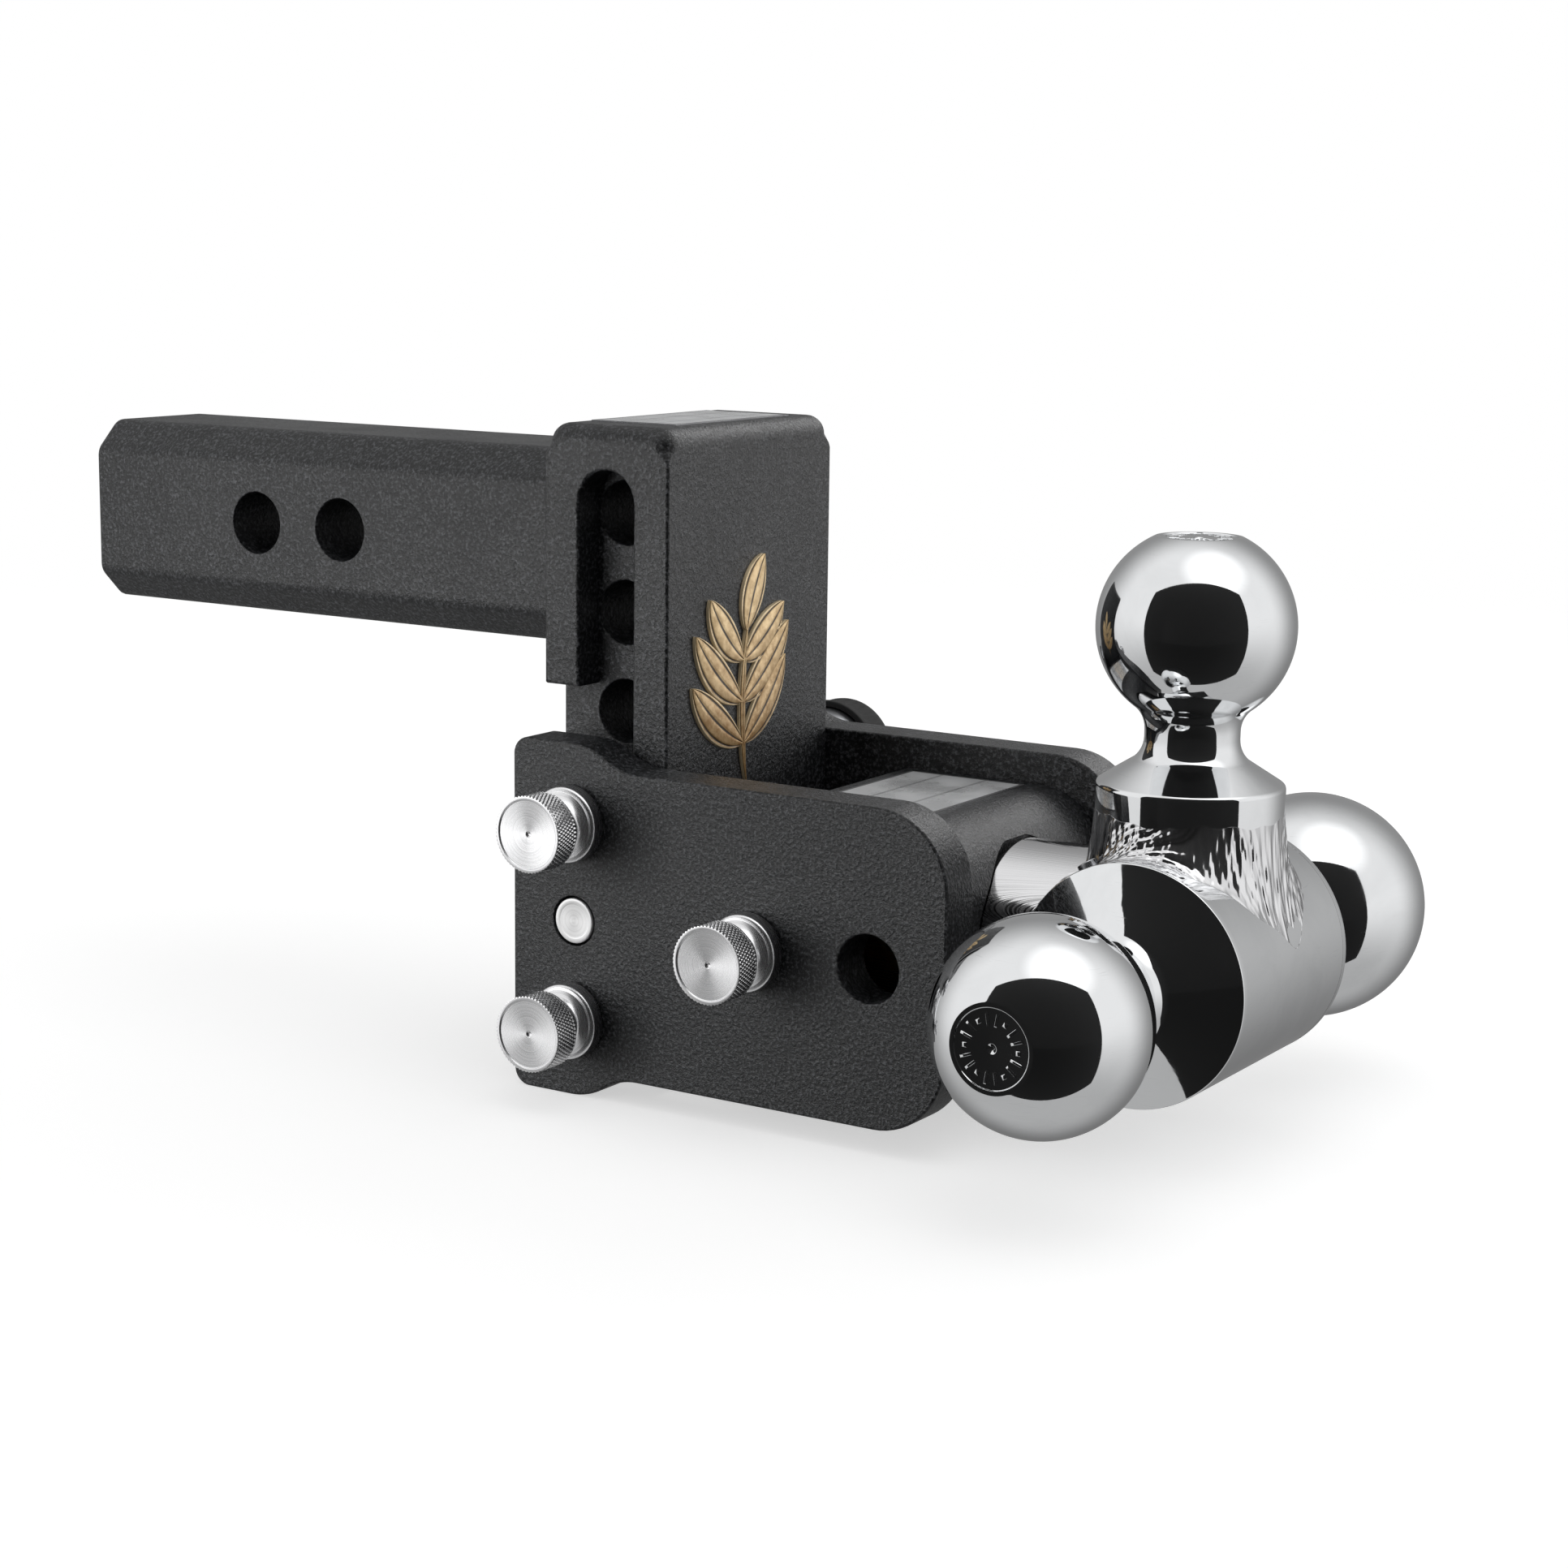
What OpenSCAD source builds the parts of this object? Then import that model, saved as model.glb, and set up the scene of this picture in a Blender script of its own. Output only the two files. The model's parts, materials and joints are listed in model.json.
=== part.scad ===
// Height-adjustable trailer hitch with a turning three-ball head.
// Millimetres. The origin is the centre of the hitch pin hole nearest the column,
// +X points rearwards to the balls, +Y to the far side and +Z up.

/* [Receiver shank] */
// Width and height of the square shank
shank_w = 50.8; // [48:0.1:56]
// Radius of the shank's four long edges
shank_edge_r = 8.6; // [4:0.1:12]
// Length of the shank ahead of the hitch pin hole
shank_front = 90.5; // [60:0.5:160]
// Distance from the hitch pin hole back to the column
shank_back = 79; // [60:0.5:120]
// Diameter of the hitch pin holes
hitch_hole_d = 17; // [15:0.1:19]
// Distance between the two hitch pin holes
hitch_hole_gap = 30; // [26:0.5:50]

/* [Column] */
// Column depth from front to back
column_x = 38.1; // [36:0.1:50]
// Width of the solid core
core_y = 58; // [56:0.5:72]
// Thickness of each slotted rail on the core's sides
rail_t = 9.1; // [7:0.1:12]
// Height of the column's top above the hitch pin hole
column_top = 33.5; // [30:0.5:60]
// Length of the column below its lowest cross hole
column_foot = 14.15; // [12:0.05:40]
// Radius of the column's top corners
column_corner_r = 5; // [2:0.5:8]
// Clearance on each side of a height pin in the rails' guide slots
slot_clear = 0.5; // [0.35:0.05:1]
// Height of the slot's round end above the hitch pin hole
slot_top = 22.3; // [15:0.1:26]
// Depth of the short front flange's end below the hitch pin hole
flange_drop = 33; // [25:0.5:45]
// Height of the top cross hole above the hitch pin hole
first_hole_z = 11.15; // [8:0.05:12]
// Step between the height settings
hole_step = 25.4; // [24:0.1:30]
// Number of cross holes in the column
hole_count = 6; // [6:1:8]
// Setting that the head's middle stands at, counted from the top hole
head_setting = 4; // [3:1:4]

/* [Side plates] */
// Thickness of each side plate
plate_t = 12.7; // [10:0.1:16]
// Length of the side plates
plate_x = 127; // [124:0.5:150]
// Height of the side plates at the balls' end
plate_z = 78.8; // [76:0.2:90]
// Height of the side plates at the column
plate_hump_z = 91.2; // [90:0.2:104]
// Length of the tall stretch at the column
hump_x = 18; // [14:0.5:24]
// Length of the curve down from the tall stretch
hump_run = 20.5; // [16:0.5:26]
// Radius of the plates' corners at the balls' end
plate_rear_r = 20; // [10:0.5:24]
// Radius of the plates' corners at the column
plate_front_r = 4.5; // [2:0.5:8]
// Gap between the plates and the column
plate_gap = 0.5; // [0.3:0.1:1]
// Distance from the socket block's front face back to the ball pin
ball_pin_x = 11.55; // [11:0.05:14]
// Distance from the spare pin hole back to the socket block's rear face
spare_hole_x = 15.25; // [13:0.05:20]
// Diameter of the spare pin hole
spare_hole_d = 16.9; // [16:0.1:18]
// Diameter of the guide pins' flush ends
guide_pin_d = 12; // [10:0.5:14]

/* [Socket block] */
// Length of the block that holds the head's shaft
block_x = 60; // [58:0.5:70]
// Height of the socket block
block_z = 62; // [60:0.5:72]
// Distance from the plates' rear ends to the block's rear face
block_inset = 6; // [3:0.5:10]
// Radius of the block's corners at the balls' end
block_rear_r = 17; // [4:0.5:20]
// Radius of the block's corners at the column
block_front_r = 3; // [1:0.5:8]
// Wall of the bearing sleeve in the block
sleeve_t = 1.95; // [1.5:0.05:3]
// Depth of the rubber shaft seal
seal_x = 2.5; // [2:0.5:4]
// Width of the rubber shaft seal's wall
seal_t = 3.6; // [2:0.1:4]

/* [Height pins] */
// Diameter of the height pins
pin_d = 15.9; // [14:0.1:16]
// Radial clearance of the height pins in their holes
pin_clear = 0.25; // [0.2:0.05:0.4]
// Length of a height pin beyond the far plate
pin_tail = 12.5; // [10:0.5:16]
// Diameter of the knurled knobs
knob_d = 19.5; // [18:0.1:24]
// Length of the knurled head of a knob
knob_head = 8; // [6:0.5:12]
// Length of a knob's waist
knob_waist = 6.6; // [5:0.1:9]
// Length of a knob's round collar
knob_collar = 4.5; // [3:0.1:6]

/* [Locks] */
// Diameter of the lock bodies
lock_d = 27; // [25:0.5:32]
// Length of the lock bodies
lock_y = 26; // [24:0.5:32]
// Diameter of the lock's key plug
lock_plug_d = 12; // [10:0.5:14]
// Wall of the rubber dust caps
cap_t = 1.8; // [1.2:0.1:3]

/* [Ball pin] */
// Diameter of the ball pin's rod
plunger_d = 12; // [11:0.5:12]
// Diameter of the ball pin's nose
nose_d = 10; // [8:0.5:10]
// Travel of the ball pin
plunger_travel = 6; // [5:0.5:7]
// Wire diameter of the return spring
spring_wire_d = 1.2; // [0.8:0.1:1.3]
// Number of turns in the return spring
spring_turns = 7; // [5:1:9]

/* [Head] */
// Gap between the socket block and the head's hub
hub_gap = 13.6; // [12:0.1:30]
// Diameter of the hub
hub_d = 58.8; // [56:0.1:64]
// Length of the hub
hub_y = 60.2; // [56:0.2:70]
// Diameter of the head's shaft
shaft_d = 38.1; // [36:0.1:40]
// Diameter of the shaft's shoulder behind the block
shoulder_d = 50; // [46:0.5:52]
// Length of the shaft ahead of the block
shaft_tail = 9; // [8:0.5:12]
// Radial running clearance of the shaft in its sleeve
run_clear = 0.05; // [0.03:0.01:0.1]
// Diameter of the small ball
small_ball_d = 47.625; // [47:0.005:49]
// Diameter of the medium ball
medium_ball_d = 50.8; // [50:0.1:52]
// Diameter of the large ball
large_ball_d = 58.74; // [58:0.01:60]
// Height of the small ball's centre above the hub's axis
small_ball_z = 81.6; // [78:0.2:95]
// Diameter of the collar under the small ball
collar_d = 45.3; // [40:0.1:50]
// Height of the collar's rim above the hub's axis
collar_z = 44.1; // [40:0.1:50]
// Height of the cone above the collar's rim
collar_cone = 5.6; // [3:0.1:8]
// Gap between a side ball and the hub's rim
side_ball_gap = 17.8; // [14:0.1:24]
// Height of the cones on the hub's ends
side_cone = 6.5; // [3:0.1:9]
// Diameter of the necks under the balls
neck_d = 24; // [20:0.5:28]
// Diameter of the flat on each ball
ball_flat_d = 20.7; // [16:0.1:26]
// Reach of the weld beads
weld_reach = 3.5; // [2:0.1:5]

/* [Labels and emblem] */
// Thickness of the labels
label_t = 0.3; // [0.2:0.05:0.5]
// Thickness of the inlaid emblem
emblem_t = 0.8; // [0.5:0.1:1.2]
// Height of the emblem
emblem_z = 58; // [40:1:60]

/* [Hidden] */
$fn = 64;

BLACK = [0.09, 0.09, 0.1];
CHROME = [0.82, 0.83, 0.85];
STEEL = [0.7, 0.71, 0.72];
RUBBER = [0.05, 0.05, 0.05];
GOLD = [0.78, 0.64, 0.4];
SILVER = [0.75, 0.76, 0.78];
BRONZE = [0.6, 0.45, 0.25];

// A cut runs this far past the face it opens
past = 1;
// Gap between pieces that move past each other
free_gap = 0.3;

pin_x = shank_back + column_x / 2;
column_end = shank_back + column_x;
column_y = core_y + 2 * rail_t;
column_bottom = first_hole_z - (hole_count - 1) * hole_step - column_foot;
slot_w = pin_d + 2 * slot_clear;
head_z = first_hole_z - head_setting * hole_step;
upper_pin_z = head_z + hole_step;
lower_pin_z = head_z - hole_step;
pin_hole_d = pin_d + 2 * pin_clear;

plate_in = column_y / 2 + plate_gap;
plate_out = plate_in + plate_t;
plate_start = shank_back;
plate_end = plate_start + plate_x;

block_end = plate_end - block_inset;
block_start = block_end - block_x;
ball_pin_at = block_start + ball_pin_x;
spare_hole_at = block_end - spare_hole_x;
sleeve_r = shaft_d / 2 + run_clear;
sleeve_out_r = sleeve_r + sleeve_t;
block_weld = 3;

guide_head_d = slot_w - 0.8;

knob_r = knob_d / 2;
knob_len = knob_collar + knob_waist + knob_head;
knob_bore_r = 5;
waist_r = knob_r - 3.4;
pin_ring_r = 1;
pin_ring_floor = pin_d / 2 - 1.85;

lock_start = plate_out + 0.4;
lock_bore_r = pin_d / 2 + 0.45;
lock_bore = pin_tail + 1.5;
plug_len = 7.5;
key_slot = [1.6, 6.4];
cap_len = 8;
cap_lip = 3;

guide_r = plunger_d / 2 + 3;
guide_flange = 5;
chamber_r = plunger_d / 2 + 1.8;
// The nose stands this far clear of the shaft when the ball pin is pulled out
draw_clear = 1.35;
nose_tip = shaft_d / 2 + draw_clear - plunger_travel;
guide_end = sleeve_out_r + 0.5;
nose_guide = 5;
clip_t = 1.1;
clip_r = chamber_r - free_gap;
clip_at = guide_end + nose_guide + free_gap;
spring_end = plate_out - guide_flange - 0.2;
spring_len = spring_end - clip_at - clip_t;
spring_r = (plunger_d / 2 + chamber_r) / 2;

hub_r = hub_d / 2;
hub_at = block_end + hub_gap + hub_r;
shaft_start = block_start - shaft_tail;
// The shoulder runs in a shallow counterbore in the block's rear face
shoulder_sink = 2;
seal_start = block_end - shoulder_sink - seal_x;
groove_w = nose_d + 2 * free_gap;
groove_turn = 2 * (90 + asin(nose_d / 2 / nose_tip) + 3);
washer_t = 3;
washer_r = shaft_d / 2 + 6;
ring_t = 1.8;
ring_depth = 1.6;
ring_r = shaft_d / 2 + 3;
ring_gap = 9;
spigot_r = 8;
spigot_len = 14;
spigot_clear = 0.05;
neck_r = neck_d / 2;
vent_d = 5;
vent_depth = 4;
vent_turn = acos((shaft_d / 2 + vent_d / 2 + 2.85) / hub_r);
vent_y = -sqrt(max(0, pow(collar_d / 2 + vent_d / 2 + free_gap, 2) - pow(hub_r * sin(vent_turn), 2)));

// ---------- shared shapes ----------

module along_x(from, z = 0) {
    translate([from, 0, z])
        rotate([0, 90, 0])
            children();
}

module to_far(x, y, z) {
    translate([x, y, z])
        rotate([-90, 0, 0])
            children();
}

module to_near(x, y, z) {
    translate([x, -y, z])
        rotate([90, 0, 0])
            children();
}

// A round hole or rod along Y, from y0 to y1
module y_rod(d, x, z, y0, y1) {
    to_far(x, y0, z)
        cylinder(d = d, h = y1 - y0);
}

// A tube of outer radius r_out around Z
module tube(r_out, r_in, h) {
    rotate_extrude()
        translate([r_in, 0])
            square([r_out - r_in, h]);
}

// An outline drawn in X and Z, given a thickness from y0 to y1
module side_slab(y0, y1) {
    translate([0, y1, 0])
        rotate([90, 0, 0])
            linear_extrude(y1 - y0)
                children();
}

// A rectangle whose four corners have their own radii: lower left, lower right, upper right, upper left
module corner_rect(x0, z0, x1, z1, r) {
    difference() {
        translate([x0, z0])
            square([x1 - x0, z1 - z0]);
        corner_bite(x0, z0, 1, 1, r[0]);
        corner_bite(x1, z0, -1, 1, r[1]);
        corner_bite(x1, z1, -1, -1, r[2]);
        corner_bite(x0, z1, 1, -1, r[3]);
    }
}

// What a round of radius r takes off a corner
module corner_bite(x, z, sx, sz, r) {
    if (r > 0)
        translate([x, z])
            scale([sx, sz])
                difference() {
                    translate([-past, -past])
                        square([r + past, r + past]);
                    translate([r, r])
                        circle(r);
                }
}

// ---------- shank and column ----------

module shank() {
    half = shank_w / 2;
    color(BLACK)
        difference() {
            translate([-shank_front, 0, 0])
                rotate([90, 0, 90])
                    linear_extrude(shank_front + shank_back)
                        corner_rect(-half, -half, half, half, [for (i = [1:4]) shank_edge_r]);
            for (x = [0, -hitch_hole_gap])
                y_rod(hitch_hole_d, x, 0, -half - past, half + past);
        }
}

module column_outline() {
    corner_rect(shank_back, column_bottom, column_end, column_top,
                [0, 0, column_corner_r, column_corner_r]);
}

module column_core() {
    color(BLACK)
        difference() {
            side_slab(-core_y / 2, core_y / 2)
                column_outline();
            for (i = [0:hole_count - 1])
                y_rod(pin_hole_d, pin_x, first_hole_z - i * hole_step,
                      -core_y / 2 - past, core_y / 2 + past);
        }
}

// The slot is round at the top and open at the bottom; the front flange ends early
module rail_outline() {
    slot_centre = slot_top - slot_w / 2;
    difference() {
        column_outline();
        translate([pin_x, slot_centre])
            circle(d = slot_w);
        translate([pin_x - slot_w / 2, column_bottom - past])
            square([slot_w, slot_centre - column_bottom + past]);
        translate([shank_back - past, column_bottom - past])
            square([column_x / 2 + past, -flange_drop - column_bottom + past]);
    }
}

// The rail's outer top edge is rounded like the column's corners
module far_rail_body() {
    outer = column_y / 2;
    intersection() {
        side_slab(core_y / 2, outer)
            rail_outline();
        translate([shank_back - past, 0, 0])
            rotate([90, 0, 90])
                linear_extrude(column_x + 2 * past)
                    corner_rect(0, column_bottom, outer, column_top,
                                [0, 0, column_corner_r, 0]);
    }
}

module near_rail() {
    color(BLACK)
        mirror([0, 1, 0])
            far_rail_body();
}

module far_rail() {
    color(BLACK)
        far_rail_body();
}

// A pointed leaf: where two equal circles overlap
module leaf(length, width) {
    r = (length * length + width * width) / (4 * width);
    intersection() {
        translate([width / 2 - r, length / 2])
            circle(r);
        translate([r - width / 2, length / 2])
            circle(r);
    }
}

// A plain sprig of leaves on a straight stem
module sprig() {
    stem_w = emblem_z / 22;
    leaf_z = emblem_z * 0.36;
    leaf_w = emblem_z * 0.13;
    translate([-stem_w / 2, 0])
        square([stem_w, emblem_z * 0.7]);
    translate([0, emblem_z - leaf_z])
        leaf(leaf_z, leaf_w);
    for (side = [-1, 1], i = [0:1])
        translate([0, emblem_z * (0.22 + 0.24 * i)])
            rotate(side * 42)
                leaf(leaf_z, leaf_w);
}

module emblem() {
    emblem_foot = head_z + plate_z / 2 - 8;
    color(GOLD)
        translate([column_end, 0, emblem_foot])
            rotate([90, 0, 90])
                linear_extrude(emblem_t)
                    sprig();
}

module top_label() {
    margin = column_corner_r + 1;
    color(SILVER)
        translate([shank_back + margin, -column_y / 2 + 2 * margin, column_top])
            cube([column_x - 2 * margin, column_y - 4 * margin, label_t]);
}

// ---------- side plates and socket ----------

// An S-curve that drops from the tall stretch to the plate's edge, as two equal arcs
module hump_curve(run, drop) {
    r = (run * run + drop * drop) / (4 * drop);
    difference() {
        union() {
            intersection() {
                translate([0, -r])
                    circle(r);
                translate([0, -drop])
                    square([run / 2, drop]);
            }
            translate([run / 2, -drop])
                square([run / 2, drop / 2]);
        }
        translate([run, r - drop])
            circle(r);
    }
}

module plate_outline() {
    half = plate_z / 2;
    hump = plate_hump_z / 2;
    corner_rect(plate_start, -half, plate_end, half, [0, plate_rear_r, plate_rear_r, 0]);
    corner_rect(plate_start, -hump, plate_start + hump_x, hump,
                [plate_front_r, 0, 0, plate_front_r]);
    for (side = [-1, 1])
        scale([1, side])
            translate([plate_start + hump_x, hump])
                hump_curve(hump_run, hump - half);
}

module plate_blank(y0) {
    difference() {
        translate([0, 0, head_z])
            side_slab(y0, y0 + plate_t)
                plate_outline();
        for (z = [upper_pin_z, lower_pin_z])
            y_rod(pin_hole_d, pin_x, z, y0 - past, y0 + plate_t + past);
        y_rod(guide_pin_d, pin_x, head_z, y0 - past, y0 + plate_t + past);
        y_rod(spare_hole_d, spare_hole_at, head_z, y0 - past, y0 + plate_t + past);
    }
}

module near_plate() {
    color(BLACK)
        difference() {
            plate_blank(-plate_out);
            y_rod(2 * guide_r, ball_pin_at, head_z, -plate_out - past, -plate_in + past);
        }
}

module far_plate() {
    color(BLACK)
        plate_blank(plate_in);
}

module socket_block() {
    half = block_z / 2;
    color(BLACK)
        difference() {
            side_slab(-plate_in, plate_in)
                corner_rect(block_start, head_z - half, block_end, head_z + half,
                            [block_front_r, block_rear_r, block_rear_r, block_front_r]);
            along_x(block_start - past, head_z)
                cylinder(r = sleeve_out_r, h = block_x + 2 * past);
            along_x(seal_start, head_z)
                cylinder(r = shaft_d / 2 + seal_t, h = seal_x + past);
            along_x(block_end - shoulder_sink, head_z)
                cylinder(r = shoulder_d / 2 + free_gap, h = shoulder_sink + past);
            y_rod(2 * guide_r, ball_pin_at, head_z, -plate_in - past, 0);
            y_rod(spare_hole_d, spare_hole_at, head_z, -plate_in - past, plate_in + past);
        }
}

// Fillet welds in the corners between the block's front face and the plates
module block_welds() {
    color(BLACK)
        for (side = [-1, 1])
            translate([block_start, side * plate_in, head_z - block_z / 2 + block_front_r])
                linear_extrude(block_z - 2 * block_front_r)
                    polygon([[0, 0], [-block_weld, 0], [0, -side * block_weld]]);
}

module shaft_sleeve() {
    length = seal_start - block_start - 0.5;
    color(BRONZE)
        difference() {
            along_x(block_start + 0.5, head_z)
                tube(sleeve_out_r, sleeve_r, length);
            y_rod(nose_d + 4 * free_gap, ball_pin_at, head_z, -sleeve_out_r - past, 0);
            y_rod(spare_hole_d, spare_hole_at, head_z, -sleeve_out_r - past, sleeve_out_r + past);
        }
}

module shaft_seal() {
    color(RUBBER)
        along_x(seal_start, head_z)
            tube(shaft_d / 2 + seal_t, shaft_d / 2 + free_gap, seal_x);
}

// A stepped pin: flush in the plate, with a wide head that runs in the rail's slot
module guide_pin_body() {
    to_far(pin_x, core_y / 2 + 0.6, head_z) {
        cylinder(d = guide_head_d, h = plate_in - core_y / 2 - 0.6);
        cylinder(d = guide_pin_d, h = plate_out - core_y / 2 - 0.6);
    }
}

module near_guide_pin() {
    color(STEEL)
        mirror([0, 1, 0])
            guide_pin_body();
}

module far_guide_pin() {
    color(STEEL)
        guide_pin_body();
}

module socket_label() {
    length = block_x - block_front_r - block_rear_r - 6;
    color(SILVER)
        translate([block_start + block_front_r + 3, -plate_in + 4, head_z + block_z / 2])
            cube([length, 2 * plate_in - 8, label_t]);
}

// A bush that guides the ball pin's rod and nose, with a chamber between for its spring
module plunger_guide() {
    color(STEEL)
        difference() {
            to_near(ball_pin_at, guide_end, head_z)
                cylinder(r = guide_r, h = plate_out - 0.1 - guide_end);
            to_near(ball_pin_at, 0, head_z)
                cylinder(d = plunger_d + 2 * run_clear, h = plate_out + past);
            to_near(ball_pin_at, guide_end + nose_guide, head_z)
                cylinder(r = chamber_r, h = spring_end + 0.2 - guide_end - nose_guide);
        }
}

// ---------- height pins ----------

// Half section of a knob: a collar at the plate, a hollow waist and a knurled head
module knob_section() {
    head_start = free_gap + knob_collar + knob_waist;
    dip = knob_r - waist_r;
    dip_r = (knob_waist * knob_waist / 4 + dip * dip) / (2 * dip);
    difference() {
        corner_rect(0, free_gap, knob_r, free_gap + knob_len, [0, 0.8, 0.8, 0]);
        translate([waist_r + dip_r, head_start - knob_waist / 2])
            circle(dip_r);
        translate([0, -past])
            square([knob_bore_r, past + free_gap + knob_len - 3]);
    }
}

module knob(x, z) {
    color(STEEL)
        to_near(x, plate_out, z)
            rotate_extrude()
                knob_section();
}

// A height pin: its near end sits in the knob and its far end in the lock
module height_pin(z) {
    spigot = knob_len - 3;
    ring_at = plate_out - 4;
    color(STEEL)
        difference() {
            union() {
                y_rod(pin_d, pin_x, z, -plate_out - free_gap, plate_out + pin_tail);
                y_rod(2 * knob_bore_r, pin_x, z, -plate_out - free_gap - spigot, 0);
            }
            to_near(pin_x, ring_at + pin_ring_r, z)
                rotate([180, 0, 0])
                    tube(pin_d, pin_ring_floor, 2 * pin_ring_r);
        }
}

// The rubber ring that keeps a height pin from rattling
module pin_ring(z) {
    color(RUBBER)
        to_near(pin_x, plate_out - 4, z)
            rotate_extrude()
                translate([pin_ring_floor + pin_ring_r, 0])
                    circle(pin_ring_r);
}

module upper_pin() {
    height_pin(upper_pin_z);
}

module upper_pin_knob() {
    knob(pin_x, upper_pin_z);
}

module upper_pin_ring() {
    pin_ring(upper_pin_z);
}

module lower_pin() {
    height_pin(lower_pin_z);
}

module lower_pin_knob() {
    knob(pin_x, lower_pin_z);
}

module lower_pin_ring() {
    pin_ring(lower_pin_z);
}

// ---------- locks on the pins' far ends ----------

module lock_body(z) {
    color(STEEL)
        to_far(pin_x, lock_start, z)
            difference() {
                rotate_extrude()
                    corner_rect(0, 0, lock_d / 2, lock_y, [0, 1.2, 1.2, 0]);
                translate([0, 0, -past])
                    cylinder(r = lock_bore_r, h = lock_bore + past);
                translate([0, 0, lock_y - plug_len])
                    cylinder(d = lock_plug_d, h = plug_len + past);
            }
}

module lock_plug(z) {
    color(SILVER)
        to_far(pin_x, lock_start + lock_y - plug_len + 0.1, z)
            difference() {
                cylinder(r = lock_plug_d / 2 - run_clear, h = plug_len - 0.2);
                translate([-key_slot[0] / 2, -key_slot[1] / 2, 2])
                    cube([key_slot[0], key_slot[1], plug_len]);
            }
}

module lock_cap(z) {
    color(RUBBER)
        to_far(pin_x, lock_start + lock_y - cap_len, z)
            difference() {
                rotate_extrude()
                    corner_rect(0, 0, lock_d / 2 + free_gap + cap_t, cap_len + free_gap + cap_lip,
                                [0, 0.6, 2, 0]);
                translate([0, 0, -past])
                    cylinder(r = lock_d / 2 + free_gap, h = cap_len + free_gap + past);
            }
}

module upper_lock_body() {
    lock_body(upper_pin_z);
}

module upper_lock_plug() {
    lock_plug(upper_pin_z);
}

module upper_lock_cap() {
    lock_cap(upper_pin_z);
}

module lower_lock_body() {
    lock_body(lower_pin_z);
}

module lower_lock_plug() {
    lock_plug(lower_pin_z);
}

module lower_lock_cap() {
    lock_cap(lower_pin_z);
}

// ---------- sprung ball pin ----------

module ball_pin() {
    spigot = knob_len - 3;
    color(STEEL)
        to_near(ball_pin_at, 0, head_z) {
            translate([0, 0, nose_tip])
                cylinder(d = nose_d, h = clip_at - nose_tip + past);
            translate([0, 0, clip_at])
                cylinder(d = plunger_d, h = plate_out + free_gap - clip_at);
            translate([0, 0, clip_at])
                cylinder(r = knob_bore_r, h = plate_out + free_gap + spigot - clip_at);
        }
}

module ball_pin_knob() {
    knob(ball_pin_at, head_z);
}

module ball_pin_clip() {
    color(BRONZE)
        to_near(ball_pin_at, clip_at, head_z)
            tube(clip_r, plunger_d / 2, clip_t);
}

// A ring of points around the spring's wire, one for each step along the helix
function wire_ring(turn, sides) =
    let (a = 360 * turn, z = spring_wire_d / 2 + (spring_len - spring_wire_d) * turn / spring_turns)
    [for (i = [0:sides - 1])
        let (b = 360 * i / sides, r = spring_r + spring_wire_d / 2 * cos(b))
        [r * cos(a), r * sin(a), z + spring_wire_d / 2 * sin(b)]];

module ball_pin_spring() {
    sides = 6;
    steps = spring_turns * 14;
    points = [for (s = [0:steps]) each wire_ring(s / 14, sides)];
    skin = [for (s = [0:steps - 1], i = [0:sides - 1])
            [s * sides + i, s * sides + (i + 1) % sides,
             (s + 1) * sides + (i + 1) % sides, (s + 1) * sides + i]];
    first_end = [[for (i = [0:sides - 1]) sides - 1 - i]];
    last_end = [[for (i = [0:sides - 1]) steps * sides + i]];
    color(STEEL)
        to_near(ball_pin_at, clip_at + clip_t, head_z)
            polyhedron(points, concat(skin, first_end, last_end));
}

// ---------- turning head ----------

module hub_blank(r = hub_r, length = hub_y) {
    y_rod(2 * r, hub_at, head_z, -length / 2, length / 2);
}

// The shaft's round bar and its shoulder, from an X position to the hub's axis
module shaft_blank(from) {
    shoulder_start = block_end - shoulder_sink + free_gap;
    along_x(from, head_z)
        cylinder(d = shaft_d, h = hub_at - from);
    along_x(shoulder_start, head_z)
        cylinder(d = shoulder_d, h = hub_at - shoulder_start);
}

module head_shaft() {
    color(CHROME)
        difference() {
            shaft_blank(shaft_start);
            hub_blank(hub_r, hub_y);
            along_x(shaft_start + shaft_tail - free_gap - washer_t - ring_t, head_z)
                tube(shaft_d, shaft_d / 2 - ring_depth, ring_t);
            along_x(ball_pin_at - groove_w / 2, head_z)
                rotate(-90 - groove_turn / 2)
                    rotate_extrude(angle = groove_turn)
                        translate([nose_tip - free_gap, 0])
                            square([shaft_d, groove_w]);
            y_rod(spare_hole_d, spare_hole_at, head_z, -shaft_d, shaft_d);
            translate([spare_hole_at, 0, head_z - shaft_d])
                cylinder(d = spare_hole_d, h = 2 * shaft_d);
        }
}

module hub() {
    depth = spigot_len + spigot_clear;
    color(CHROME)
        difference() {
            hub_blank();
            for (side = [-1, 1])
                translate([hub_at, side * (hub_y / 2 - depth / 2), head_z])
                    rotate([90, 0, 0])
                        cylinder(r = spigot_r + spigot_clear, h = depth + 0.01, center = true);
            translate([hub_at, 0, head_z + hub_r - depth])
                cylinder(r = spigot_r + spigot_clear, h = depth + past);
            vent_rod(vent_d, past);
        }
}

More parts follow.
